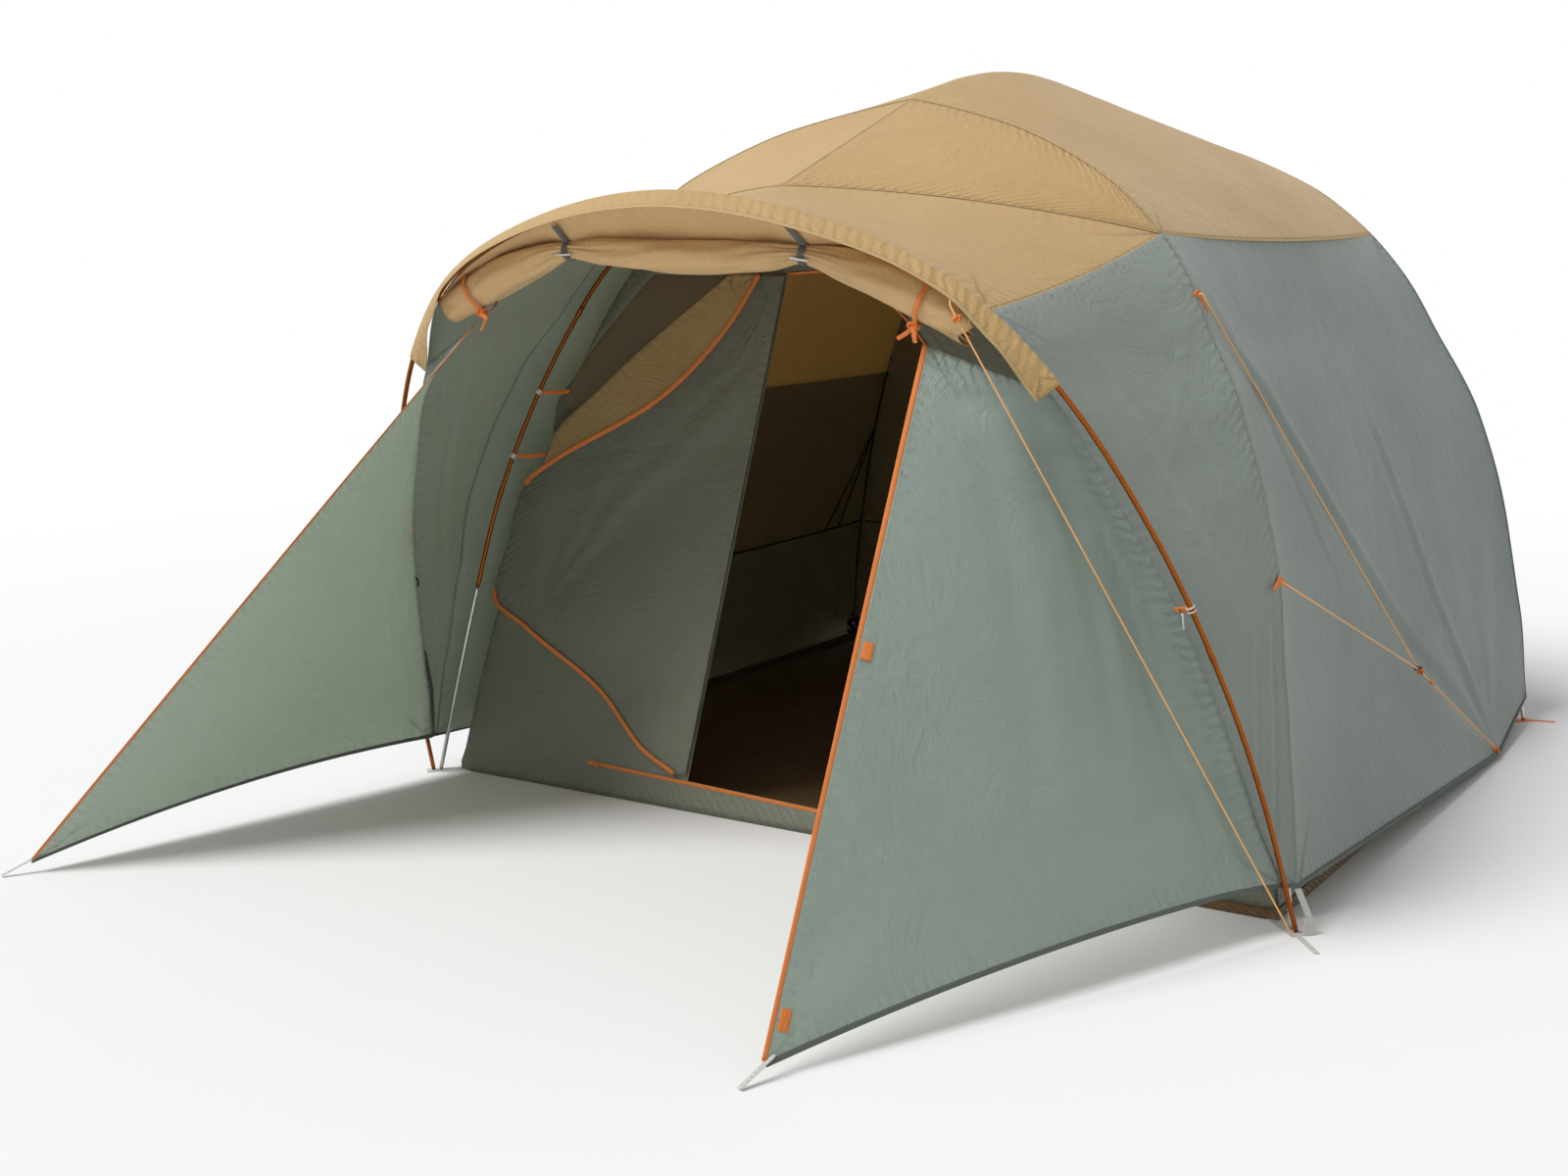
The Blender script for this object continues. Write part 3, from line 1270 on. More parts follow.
    def build_brow(self) -> None:
        """Build the brow with its gathers, which run across it and are deepest at the sleeve's seam."""
        grid = self.brow()
        rows, columns = grid.shape[:2]
        run = np.linspace(-1.0, 1.0, rows)[:, None] * run_of(grid[:, 0])[-1] / 2
        down = np.linspace(0.0, 1.0, columns)[None, :]
        gathers = np.sin(run * math.tau / 0.052 + 2.0 * np.sin(run * 7.0)) * np.sin(run * 11.0 + 0.7)
        extra = 0.0006 * gathers * np.exp(-(((down - 0.72) / 0.2) ** 2)) * (0.25 + np.abs(run) ** 2)
        Panel("brow_cloth", grid, Look.TAN, True, "hung", rests_on=("porch_pole",),
              folds=(Creases(51, 60, 0.0006, 0.008, 0.05),), fade=0.012, extra=extra).build()
        normal = -grid_normals(grid)[:, -1]
        ribbon("hem_brow", grid[:, -1] + normal * CLOTH_LIFT, normal, 0.008, 0.0030, Look.SEAM)


@dataclass
class RolledDoor:
    """The porch door rolled up under the brow and held by two ties and two toggles."""

    stations: tuple = ((-0.755, 0.0440, 0.268, 0.050), (-0.70, 0.0460, 0.244, 0.052),
                       (-0.56, 0.0540, 0.188, 0.053), (-0.43, 0.0545, 0.148, 0.040),
                       (-0.335, 0.0406, 0.127, 0.022), (-0.24, 0.0434, 0.130, 0.036),
                       (0.0, 0.0388, 0.142, 0.043), (0.225, 0.0403, 0.138, 0.036),
                       (0.316, 0.0406, 0.132, 0.022), (0.41, 0.0534, 0.156, 0.042),
                       (0.54, 0.0500, 0.204, 0.052), (0.64, 0.0430, 0.247, 0.052),
                       (0.705, 0.040, 0.280, 0.050))
    turns: float = 4.0
    leave: float = 1.95
    strap_at: tuple[float, float] = (-0.335, 0.316)
    tape_width: float = 0.0110
    core: float = 0.26
    rows: int = 191
    columns: int = 220
    tie_at: tuple[float, float] = (-0.655, 0.600)
    tie_radius: float = 0.0022
    tie_tail: float = 0.045

    def centre(self) -> tuple[Array, Array]:
        """Return the roll's centre line and its radius along it, hung below the porch pole's crown."""
        x, behind, drop, radius = np.array(self.stations).T
        height = LINES.porch_crown - drop
        points = np.stack([x, LINES.porch_y(height) + behind, height], axis=1)
        line = curve_through(points)
        girth = curve_through(np.stack([np.arange(len(x)), radius], axis=1))[:, 1]
        run = np.linspace(0.0, run_of(line)[-1], self.rows)
        return at_length(line, run), np.interp(run, run_of(line), girth)

    def frame_at(self, line: Array) -> tuple[Array, Array, Array]:
        """Return the roll's axis, its front and its upper direction along a line."""
        way = tangents(line)
        front = unit(np.cross(way, UP))
        return way, front, np.cross(front, way)

    def build(self) -> None:
        """Build the roll and its header as one sheet, then the straps, bars' loops and ties.

        At angle a of the spiral the radius is R x (core + (1 - core) x a / whole turn). Folds add
        waves round the roll that drift along it; gathers deepen towards the two straps. From the
        roll's front the cloth runs straight up to the pole.
        """
        line, radius = self.centre()
        way, front, up = self.frame_at(line)
        share = np.linspace(0.0, 1.0, self.columns)[None, :]
        angle = self.leave - (1.0 - share) * self.turns * math.tau
        run = run_of(line)[:, None]
        growth = self.core + (1.0 - self.core) * share
        folds = 0.0026 * np.sin(4.0 * angle + 7.0 * run) * np.sin(run * 11.0 + 1.0)
        folds = folds + 0.0018 * np.sin(7.0 * angle - 17.0 * run + np.sin(run * 23.0))
        for x in self.strap_at:
            gap = run - length_at(line, x, 0)
            gathers = np.sin(15.0 * angle + 2.0 * np.sin(gap * 20.0)) * np.exp(-((gap / 0.10) ** 2))
            folds = folds + 0.0030 * gathers
        reach = radius[:, None] * growth * 0.965 + folds * share ** 3 - 0.0012
        grid = (line[:, None] + reach[..., None] * (np.cos(angle)[..., None] * front[:, None]
                                                    + np.sin(angle)[..., None] * up[:, None]))
        end = np.linspace(0.0, 1.0, self.rows)[:, None]
        ragged = 0.012 * np.sin(3.1 * angle + 1.0) * np.exp(-(((1.0 - end) / 0.03) ** 2))
        grid = grid + ragged[..., None] * way[:, None]
        top = self.anchor(line, 0.0125, 0.001)
        rise = np.linspace(0.0, 1.0, 24)[None, 1:, None]
        slack = 0.0025 * np.sin(run * 37.0 + 2.0 * np.sin(run * 9.0))[..., None] * np.sin(math.pi * rise)
        header = grid[:, -1:] + (top[:, None] - grid[:, -1:]) * rise + slack * LINES.forward
        Panel("rolled_door_cloth", np.concatenate([grid, header], axis=1), Look.TAN_ROLL, held="folded",
              rests_on=("roll_toggle_left", "roll_toggle_right"), lift=0.0, wall=0.0006, fade=0.006,
              folds=(Creases(61, 150, 0.0007, 0.006, 0.10),)).build()
        for build, places in ((self.build_strap, self.strap_at), (self.build_tie, self.tie_at)):
            for name, x in zip(("left", "right"), places):
                build(name, x, line, radius)

    def anchor(self, line: Array, inward: float, ahead: float) -> Array:
        """Return the points inside the porch pole at each X of a line.

        Args:
            line: The points whose X counts.
            inward: How far they lie from the pole's middle towards the inside of the arch.
            ahead: How far they lie in front of the pole's plane.

        Returns:
            The points.
        """
        arch = whole(LINES.porch)
        inner = LINES.inward(arch)
        order = np.argsort(arch[:, 0])
        x = arch[order, 0]
        pole = np.stack([np.interp(line[:, 0], x, arch[order, k]) for k in range(3)], axis=1)
        aim = unit(np.stack([np.interp(line[:, 0], x, inner[order, k]) for k in range(3)], axis=1))
        return pole + aim * inward + LINES.forward * ahead

    def build_strap(self, name: str, x: float, line: Array, radius: Array) -> None:
        """Build one webbing strap that hangs from the pole and draws the roll in.

        Args:
            name: The side that it is on.
            x: Where it goes round the roll.
            line: The roll's centre line.
            radius: The roll's radius along it.
        """
        at = length_at(line, x, 0)
        place = at_length(line, at)[None]
        way, front, up = (d[0] for d in self.frame_at(spaced(line, at - 0.002, at + 0.002, 3)))
        reach = float(np.interp(at, run_of(line), radius)) + 0.0008
        angle = np.radians(np.linspace(62.0, -262.0, 61))[:, None]
        loop = place + reach * (np.cos(angle) * front + np.sin(angle) * up)
        first = self.anchor(place, 0.0260, 0.0060)
        last = self.anchor(place, 0.0150, -0.0040)
        share = np.linspace(0.0, 1.0, 10)[:, None]
        path = np.vstack([first + (loop[0] - first) * share[:-1], loop,
                          loop[-1] + (last - loop[-1]) * share[1:]])
        tube(f"roll_strap_{name}", path, way, 0.0085, 0.0009, Look.DARK_STRAP, sides=12)

    def build_tie(self, name: str, x: float, line: Array, radius: Array) -> None:
        """Build one tie: a turn of tape round the roll, knotted below and ending in two tails.

        Args:
            name: The side that it is on.
            x: Where it goes round the roll.
            line: The roll's centre line.
            radius: The roll's radius along it.
        """
        at = length_at(line, x, 0)
        place, ahead = at_length(line, at), at_length(line, at + 0.01)
        axis = unit(ahead - place)
        reach = float(np.interp(at, run_of(line), radius)) + self.tie_radius + 0.0007
        down = np.array([0.0, -0.25, -1.0])
        down = unit(down - axis * (axis @ down))
        side = np.cross(axis, down)
        turn = np.radians(8.0 + 344.0 * np.linspace(0.0, 1.0, 49))[:, None]
        spread = axis * np.linspace(-0.0035, 0.0035, 49)[:, None]
        loop = place + reach * (down * np.cos(turn) + side * np.sin(turn)) + spread
        share = np.linspace(0.0, 1.0, 12)[:, None]
        curl = np.sin(share * math.pi) * 0.006 * side
        far = loop[0] + down * self.tie_tail - axis * 0.020
        first = far + (loop[0] + down * 0.006 - far) * share + curl
        near = loop[-1] + down * 0.006
        last = near + (loop[-1] + down * self.tie_tail * 0.8 + axis * 0.020 - near) * share - curl
        path = np.vstack([first, loop, last])
        piece = tube(f"roll_tie_{name}_tape", path, axis, self.tape_width / 2, 0.0013, Look.ORANGE, sides=12)
        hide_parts(f"roll_tie_{name}")
        middle = (loop[0] + loop[-1]) / 2 + down * 0.006
        knot = tie_knot(f"roll_knot_{name}", middle, down, 0.0088, 0.0036, Look.ORANGE)


def tie_knot(name: str, centre: Array, way: Array, size: float, thick: float, look: Look) -> bpy.types.Object:
    """Build a small overhand knot as a tube on the trefoil's line.

    At t the line is ((2 + cos 3t) cos 2t, (2 + cos 3t) sin 2t, 1.3 sin 3t) x size / 2.

    Args:
        name: The piece's name.
        centre: The knot's middle.
        way: The direction that its hole faces.
        size: Half its width.
        thick: The cord's radius.
        look: Its finish.

    Returns:
        The piece.
    """
    t = np.linspace(0.0, math.tau * 0.985, 73)[:, None]
    first = unit(np.cross(way, np.array([0.37, 0.83, 0.21])))
    second = np.cross(way, first)
    path = centre + size / 2 * ((2 + np.cos(3 * t)) * (np.cos(2 * t) * first + np.sin(2 * t) * second)
                                + 1.3 * np.sin(3 * t) * way)
    return tube(name, path, way, thick, thick, look, sides=8)


# Inner tent


@dataclass
class InnerTent:
    """The inner tent: tub floor, walls, roof, the doorway's wall with its window, and the sill zip."""

    section: Table = ((1.255, 0.0), (1.205, 0.318), (1.155, 0.554), (1.048, 0.946), (0.893, 1.329), (0.735, 1.550),
                      (0.400, 1.775), (0.0, 1.872))
    end_y: float = 1.165
    lean: float = 0.184
    rise: float = 0.085
    sag: float = 0.058
    wall_top: float = 1.080
    rim: float = 0.030
    doorway: Table = ((-0.437, 0.083), (0.0, 0.070), (0.250, 0.066), (0.350, 0.210), (0.385, 0.520), (0.350, 0.900),
                      (0.230, 1.220), (0.060, 1.400), (-0.120, 1.480), (-0.274, 1.478))
    window: Table = ((-1.030, 1.015), (-1.025, 1.100), (-0.892, 1.286), (-0.725, 1.470), (-0.380, 1.470),
                     (-0.520, 1.250), (-0.900, 1.000))
    sill_left: tuple[float, float] = (-0.790, 0.088)
    sill_right: tuple[float, float] = (0.290, 0.056)
    cloth: float = 0.0025
    corner_bare: float = 1.00
    level_seam: float = 0.500
    gusset_top: float = 0.880
    floor_cells: int = 80
    rim_rows: int = 6
    lining_drop: float = 0.0008
    lining_inset: float = 0.0009
    ease: float = 0.0004
    piping_lift: float = 0.0045

    @cached_property
    def half(self) -> Array:
        """The section's right half as points in the X-Z plane."""
        x, z = np.array(self.section).T
        return curve_through(np.stack([x, np.zeros_like(x), z], axis=1))

    def end_at(self, height: Array | float) -> Array | float:
        """Return how far the end walls stand from the middle at a height."""
        return self.end_y - self.lean * height

    def draw_in(self, points: Array, t: Array) -> Array:
        """Return how far the side draws in: sag x (1 - t^2) x sin(pi z / top)^0.8."""
        share = np.minimum(1.0, points[:, 2] / self.section[-1][1])
        return self.sag * (1.0 - t ** 2)[:, None] * np.sin(math.pi * share)[None] ** 0.8

    @cached_property
    def ahead(self) -> Array:
        """The direction out of the front wall."""
        return unit(np.array([0.0, -1.0, -self.lean]))

    def front(self, flat: Array, out: Array | float) -> Array:
        """Lay (x, height) points on the front wall's plane, a distance in front of it."""
        place = np.stack([flat[:, 0], -self.end_at(flat[:, 1]), flat[:, 1]], axis=1)
        return place + self.ahead * out

    def wall(self) -> Array:
        """Return the right wall: level lines from front to rear, drawn in between."""
        foot, top = (length_at(self.half, z) for z in (self.rim + self.ease, self.wall_top))
        points = spaced(self.half, top, foot, 81)
        t = np.linspace(-1.0, 1.0, 121)
        reach = np.asarray(self.end_at(points[:, 2])) - self.ease
        x = points[None, :, 0] - self.draw_in(points, t)
        grid = np.stack([x, t[:, None] * reach[None], np.broadcast_to(points[:, 2], x.shape)], axis=2)
        return grid.transpose(1, 0, 2)

    def roof(self) -> Array:
        """Return the roof: the section's arch from front to rear, raised in the middle by the parabola 1 - t^2."""
        top = length_at(self.half, self.wall_top)
        crown = across(spaced(self.half, top, run_of(self.half)[-1], 81))
        t = np.linspace(-1.0, 1.0, 121)
        lift = self.rise * (1.0 - t ** 2)[:, None] * (1.0 - np.abs(crown[:, 0]) / crown[-1, 0])[None]
        x = crown[None, :, 0] - np.sign(crown[:, 0])[None] * self.draw_in(crown, t)
        y = t[:, None] * (np.asarray(self.end_at(crown[:, 2])) - self.ease)[None]
        return np.stack([x, y, crown[None, :, 2] + lift], axis=2)

    def flat_cloth(self, outline: Array, holes: Sequence[Array], step: float) -> tuple[Array, list]:
        """Fill a flat outline with small triangles, leaving its holes open.

        Args:
            outline: The outer (x, height) loop.
            holes: The inner loops.
            step: The spacing of the points between.

        Returns:
            The flat points and the triangles.
        """
        loops = [outline, *holes]
        low, high = outline.min(axis=0), outline.max(axis=0)
        mesh = np.stack(np.meshgrid(np.arange(low[0], high[0], step), np.arange(low[1], high[1], step)), axis=-1)
        mesh = mesh.reshape(-1, 2)
        clear = np.min([np.linalg.norm(mesh[:, None] - loop[None], axis=2).min(axis=1) for loop in loops], axis=0)
        mesh = mesh[(clear > step * 0.45) & between(mesh, outline, holes)]
        points = np.vstack([*loops, mesh])
        edges, start = [], 0
        for loop in loops:
            index = start + np.arange(len(loop))
            edges += np.stack([index, np.roll(index, -1)], axis=1).tolist()
            start += len(loop)
        made = delaunay_2d_cdt([tuple(p) for p in points.tolist()], edges, [], 0, 1e-6)
        points = np.array([tuple(p) for p in made[0]])
        faces = np.array(made[2])
        middle = points[faces].mean(axis=1)
        faces = faces[between(middle, outline, holes)]
        turned = doubled_area(points, faces) < 0
        faces[turned] = faces[turned][:, ::-1]
        return points, faces

    def flat_sheet(self, name: str, flat: Array, faces: Array, outs: Sequence[Array], sign: float, look: Look,
                   node: str, rests_on: str, **attributes: Array) -> None:
        """Args:
            name: The piece's name.
            flat: Its flat points.
            faces: Its triangles.
            outs: How far its two layers lie in front of the plane at each point.
            sign: -1 for the front, 1 for the rear.
            look: Its finish.
            node: The node that it stands for.
            rests_on: The node that holds it.
            attributes: Values for each point by name.
        """
        count = len(flat)
        faces = faces if sign < 0 else faces[:, ::-1]
        pairs = np.vstack([faces[:, [0, 1]], faces[:, [1, 2]], faces[:, [2, 0]]])
        rim = pairs[~np.isin(pairs[:, 0] * count + pairs[:, 1], pairs[:, 1] * count + pairs[:, 0])]
        sides = np.stack([rim[:, 1], rim[:, 0], rim[:, 0] + count, rim[:, 1] + count], axis=1)
        layers = np.vstack([self.end_points(flat, out, sign) for out in outs])
        doubled = {key: np.tile(value, 2) for key, value in attributes.items()}
        piece = new_piece(name, layers, faces.tolist() + (faces[:, ::-1] + count).tolist() + sides.tolist(), look,
                          uv=np.tile(flat, (2, 1)), **doubled)
        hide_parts(node)

    def end_wall(self, end: str, sign: float, look: Look, holes: Sequence[Array]) -> None:
        """Build an end wall with its openings.

        Args:
            end: Which end it is, as in the names of the piece and its node.
            sign: -1 for the front, 1 for the rear.
            look: Its finish.
            holes: The openings' loops.
        """
        foot = length_at(self.half, self.rim + self.ease)
        half = spaced(self.half, foot, run_of(self.half)[-1], 70)[:, [0, 2]]
        outline = np.vstack([half, (half * np.array([-1.0, 1.0]))[:-1][::-1]])
        x = np.linspace(outline[-1, 0], outline[0, 0], 90)[1:-1]
        skirt = np.clip((self.corner_bare - x) / 0.12, 0.0, 1.0) * (sign < 0)
        outline = np.vstack([outline, np.stack([x, outline[0, 1] - (outline[0, 1] - 0.0016) * skirt], axis=1)])
        flat, faces = self.flat_cloth(outline, holes, 0.022)
        edge = np.linalg.norm(flat[:, None] - np.vstack([outline, *holes])[None], axis=2).min(axis=1)
        relief = sum(Creases(*sizes).relief(flat[:, 0], flat[:, 1])
                     for sizes in ((71, 190, 0.0012, 0.011), (72, 30, 0.003, 0.035, 0.3)))
        relief = relief * (1.0 - np.exp(-((edge / 0.04) ** 2)))
        outs = [0.0014 + relief + half_wall for half_wall in (CLOTH_WALL / 2, -CLOTH_WALL / 2)]
        self.flat_sheet(f"inner_{end}_cloth", flat, faces, outs, sign, look, f"inner_wall_{end}", "floor_tub",
                        edge=edge, along=flat[:, 0] + flat[:, 1])

    def end_points(self, flat: Array, out: Array, sign: float) -> Array:
        """Lay flat points on the front wall's plane, or mirrored on the rear's, each its own distance out.

        Args:
            flat: The (x, height) points.
            out: How far each lies in front of the plane.
            sign: -1 for the front, whose foot is drawn forward over the rim, 1 for the rear.

        Returns:
            The points.
        """
        place = self.front(flat, out[:, None])
        low = np.clip((0.046 - flat[:, 1]) / 0.014, 0.0, 1.0) * (sign < 0)
        place[:, 1] -= low * (self.lean * flat[:, 1] + 0.0012)
        return flipped(place) if sign > 0 else place

    def build(self) -> None:
        """Build the walls, roof, floor, window and the zips of the doorway."""
        wall = self.wall()
        low = int(np.argmin(np.abs(wall[:, 0, 2] - self.level_seam)))
        for name, sign in SIDES:
            turned = wall * side_of(sign)
            Panel(f"inner_wall_{name}_cloth", turned[:low + 1], Look.INSIDE_WALL, sign < 0,
                  folds=(Creases(73, 60, 0.0012, 0.011), Creases(74, 16, 0.003, 0.035, 0.3))).build()
            Panel(f"inner_skirt_{name}_cloth", turned[low:], Look.INSIDE_SKIRT, sign < 0,
                  rests_on=("floor_tub",),
                  folds=(Creases(77, 60, 0.0010, 0.011), Fan((1.0, 1.0), 17.0, 0.007, 0.5))).build()
        Panel("inner_roof_cloth", self.roof(), Look.INSIDE_ROOF, True,
              rests_on=("inner_wall_left", "inner_wall_right"),
              folds=(Creases(75, 120, 0.0012, 0.011), Creases(76, 20, 0.003, 0.035, 0.3))).build()
        door = curve_through(self.doorway, 12)
        window = np.array([*self.window, self.window[0]])
        pane = at_length(window, np.linspace(0.0, run_of(window)[-1], 97))[:-1]
        self.end_wall("front", -1.0, Look.GREY_INSIDE, (door, pane))
        self.end_wall("rear", 1.0, Look.INSIDE_WALL, ())
        middle = pane.mean(axis=0)
        flat, faces = self.flat_cloth(middle + (pane - middle) * 1.006, (), 0.03)
        outs = [np.full(len(flat), out) for out in (0.0009, 0.0004)]
        self.flat_sheet("window_net", flat, faces, outs, -1.0, Look.NET, "window_mesh", "inner_wall_front")
        self.build_floor()
        self.build_zips(door)
        self.build_piping(wall, low)

    def build_floor(self) -> None:
        """Build the tub: a gently waved square sheet whose last rows turn up into the rim."""
        half = np.array([self.section[0][0], self.end_y]) - 0.0006
        inner = np.linspace(-1.0, 1.0, self.floor_cells + 1)
        steps = np.concatenate([np.full(self.rim_rows, -1.0), inner, np.full(self.rim_rows, 1.0)])
        turned = np.linspace(0.0, 1.0, self.rim_rows + 1)[1:] * (self.rim - self.ease)
        climb = np.concatenate([turned[::-1], np.zeros_like(inner), turned])
        grid = np.zeros((len(steps), len(steps), 3))
        grid[..., 0], grid[..., 1] = (steps * half[0])[None, :], (steps * half[1])[:, None]
        grid[..., 2] = np.maximum(climb[None, :], climb[:, None])
        flat = grid[..., 2] == 0.0
        away = np.minimum(half[0] - np.abs(grid[..., 0]), half[1] - np.abs(grid[..., 1]))
        x, y = grid[..., 0], grid[..., 1]
        waves = 0.5 + 0.5 * np.sin(x * 5.0 + 2.0 * np.sin(y * 3.0)) * np.sin(y * 7.0)
        grid[..., 2] += np.where(flat, 0.0012 * waves * np.clip(away / 0.1, 0.0, 1.0), 0.0)
        outer, lining = grid + UP * 0.0003, grid + UP * 0.0011
        lining[..., :2] -= np.sign(grid[..., :2]) * np.where(flat, 0.0, self.lining_inset)[..., None]
        lining[..., 2] -= np.where(flat, 0.0, self.lining_drop)
        points = np.vstack([lining.reshape(-1, 3), outer.reshape(-1, 3)])
        away = np.where(flat, away, self.rim - grid[..., 2]).ravel()
        uv = grid[..., :2].reshape(-1, 2) + grid[..., 2].reshape(-1, 1)
        faces = [[face[0], face[3], face[2], face[1]] for face in shell_faces(len(steps), len(steps))]
        piece = new_piece("floor_cloth", points, faces, Look.FLOOR, uv=np.tile(uv, (2, 1)),
                          edge=np.tile(away, 2), along=np.tile(uv.sum(axis=1), 2))
        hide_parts("floor_tub")

    def build_piping(self, wall: Array, low: int) -> None:
        """Build the dark piping seen inside: the rear corners, the level seams and the corner gussets.

        Args:
            wall: The right wall's grid, lines from the top to the foot.
            low: The row of its level seam.
        """
        last = wall.shape[1] - 1
        top = int(np.argmin(np.abs(wall[:, 0, 2] - self.gusset_top)))
        row = np.arange(top, low + 1)
        reach = (row - top) / (low - top)
        for name, sign in SIDES[::-1]:
            turn = side_of(sign)
            inward = RIGHT * (-sign * self.piping_lift)
            corner = wall[:, -1] * turn + np.array([-sign * 0.007, -0.007, 0.0])
            self.pipe(f"inner_piping_corner_{name}", corner)
            self.pipe(f"inner_piping_level_{name}", wall[low] * turn + inward)
            for label, share in (("outer", 0.855), ("inner", 0.905)):
                column = last * (1.0 - (1.0 - share) * reach)
                index = np.clip(column.astype(int), 0, last - 1)
                part = (column - index)[:, None]
                line = wall[row, index] * (1.0 - part) + wall[row, index + 1] * part
                self.pipe(f"inner_gusset_{label}_{name}", line * turn + inward)
        seam = wall[low, -1]
        line = mirrored(seam) + (seam - mirrored(seam)) * np.linspace(0.01, 0.99, 60)[:, None]
        self.pipe("inner_piping_level_rear", line - INTO * self.piping_lift)
        foot = mirrored(wall[-4, -1]) + np.array([0.012, -0.012, 0.0])
        tie_knot("inner_corner_bunch", foot, np.array([0.6, -0.7, 0.2]), 0.026, 0.0085, Look.PIPING)

    def pipe(self, name: str, line: Array) -> None:
        """Build one run of dark piping, a slim tube."""
        tube(name, line, np.array([0.31, 0.22, 0.92]), 0.0028, 0.0028, Look.PIPING, sides=8)

    def build_zips(self, door: Array) -> None:
        """Build the zip round the doorway's free edge and the sill zip.

        Args:
            door: The doorway's flat outline.
        """
        tape("zip_doorway", self.front(door[12 * 2 + 6:], self.cloth), self.ahead, 0.007, 0.0024, Look.ZIP)
        flat = straight(np.array(self.sill_left), np.array(self.sill_right), 80)
        piece = tape("zip_sill", self.front(flat, self.cloth), self.ahead, 0.012, 0.0024, Look.ZIP, 0.0010)
        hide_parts("sill_zip")


def doubled_area(points: Array, faces: Array) -> Array:
    """Return twice the area of flat triangles, below nought where they run clockwise."""
    a, b, c = (points[faces[:, k]] for k in range(3))
    return (b[:, 0] - a[:, 0]) * (c[:, 1] - a[:, 1]) - (b[:, 1] - a[:, 1]) * (c[:, 0] - a[:, 0])


def inside(points: Array, loop: Array) -> NDArray[np.bool_]:
    """Tell which points lie inside a closed loop, by counting the edges that cross to their right.

    Args:
        points: The flat points.
        loop: The loop's corners.

    Returns:
        One truth value for each point.
    """
    a, b = loop[None], np.roll(loop, -1, axis=0)[None]
    x, y = points[:, :1], points[:, 1:]
    crosses = (a[..., 1] > y) != (b[..., 1] > y)
    rise = np.where(b[..., 1] == a[..., 1], 1.0, b[..., 1] - a[..., 1])
    at = a[..., 0] + (y - a[..., 1]) * (b[..., 0] - a[..., 0]) / rise
    return (crosses & (x < at)).sum(axis=1) % 2 == 1


def between(points: Array, outline: Array, holes: Sequence[Array]) -> NDArray[np.bool_]:
    """Tell which points lie inside an outline and outside all of its holes."""
    keep = inside(points, outline)
    for hole in holes:
        keep = keep & ~inside(points, hole)
    return keep


@dataclass
class InnerDoor:
    """The inner door folded back about its hinge line, with the tan band on its upper edge and its zips."""

    inner: InnerTent
    foot: tuple[float, float] = (-0.446, 0.104)
    top: tuple[float, float] = (-0.282, 1.478)
    standoff: float = 0.016
    radius: float = 0.0065
    reach: Table = ((0.104, 0.030), (0.156, 0.140), (0.307, 0.354), (0.446, 0.642), (0.520, 0.785), (0.700, 0.772),
                    (0.853, 0.750), (0.935, 0.653), (1.132, 0.320), (1.320, 0.156), (1.478, 0.075))
    band: Table = ((0.853, 0.757), (0.915, 0.700), (1.021, 0.672), (1.132, 0.560), (1.250, 0.440), (1.478, 0.172))
    rows: int = 141
    columns: int = 90
    turn_in: float = 0.012
    zip_lift: float = 0.0032
    zip_top: float = 0.545

    def hang(self, base: Array, reach: Array, w: Array) -> Array:
        """Return points of the hanging door: out along -X by the reach, with soft waves off the wall.

        The waves are 0.006 x sin(5.5 pi w + 7 reach), fading in from the fold, plus
        0.004 x sin(9 reach - 4 w), and never more than 6 mm back.

        Args:
            base: The fold line's points.
            reach: How far each point lies from it.
            w: The share of its height.

        Returns:
            The points.
        """
        swell = 0.006 * np.sin(5.5 * math.pi * w + 7.0 * reach) * np.minimum(1.0, reach / 0.15)
        swell = np.maximum(-0.006, swell + 0.004 * np.sin(9.0 * reach - 4.0 * w))
        return base - RIGHT * reach[..., None] + self.inner.ahead * (self.radius + swell)[..., None]

    def build(self) -> None:
        """Build the door, its band and the zips that ride with it."""
        out = self.inner.ahead
        w = np.linspace(0.0, 1.0, self.rows)[:, None]
        ends = self.inner.front(np.array([self.foot, self.top]), self.standoff - self.radius)
        base = straight(*ends, self.rows)
        z = base[:, 2]
        reach = smooth_at(self.reach, z)[:, None]
        angle = np.radians(np.linspace(-90.0, 90.0, 13))[None, :, None]
        turn = base[:, None] + self.radius * (out * np.sin(angle) + RIGHT * np.cos(angle))
        turn[:, 0] -= RIGHT * np.minimum(self.turn_in, reach * 0.4)
        cloth = self.hang(base[:, None], reach * np.linspace(0.0, 1.0, self.columns)[None, 1:], w)
        Panel("inner_door_cloth", np.concatenate([turn, cloth], axis=1), Look.GREY_INSIDE, True, "hung", "door",
              ("inner_wall_front",), lift=0.001,
              folds=(Creases(81, 110, 0.0012, 0.010, 0.2), Creases(82, 16, 0.0025, 0.03, 0.4),
                     Fan((0.02, 1.0), 24.0, 0.0035, 0.16), Fan((0.05, 0.69), 12.0, 0.0030, 0.045),
                     Fan((0.8, 0.3), 9.0, 0.0040, 0.30))).build()
        rows = np.flatnonzero(z > self.band[0][0])
        start = reach[rows] + 0.0008
        wide = smooth_at(self.band, z)[rows, None]
        band = self.hang(base[rows, None], start + (wide - start) * np.linspace(0.0, 1.0, 24)[None], w[rows])
        Panel("door_band_cloth", band, Look.TAN_INSIDE, True, "hung", "door", ("inner_wall_front",), lift=0.001,
              folds=(Creases(83, 50, 0.0012, 0.010, 0.12),), fade=0.015).build()
        for name, part, width in (("upper", rows, 0.014), ("lower", np.flatnonzero(z < self.zip_top), 0.016)):
            tape(f"zip_door_{name}", cloth[part, -1], out, width, 0.0028, Look.ZIP, self.zip_lift, "door")


# Frame


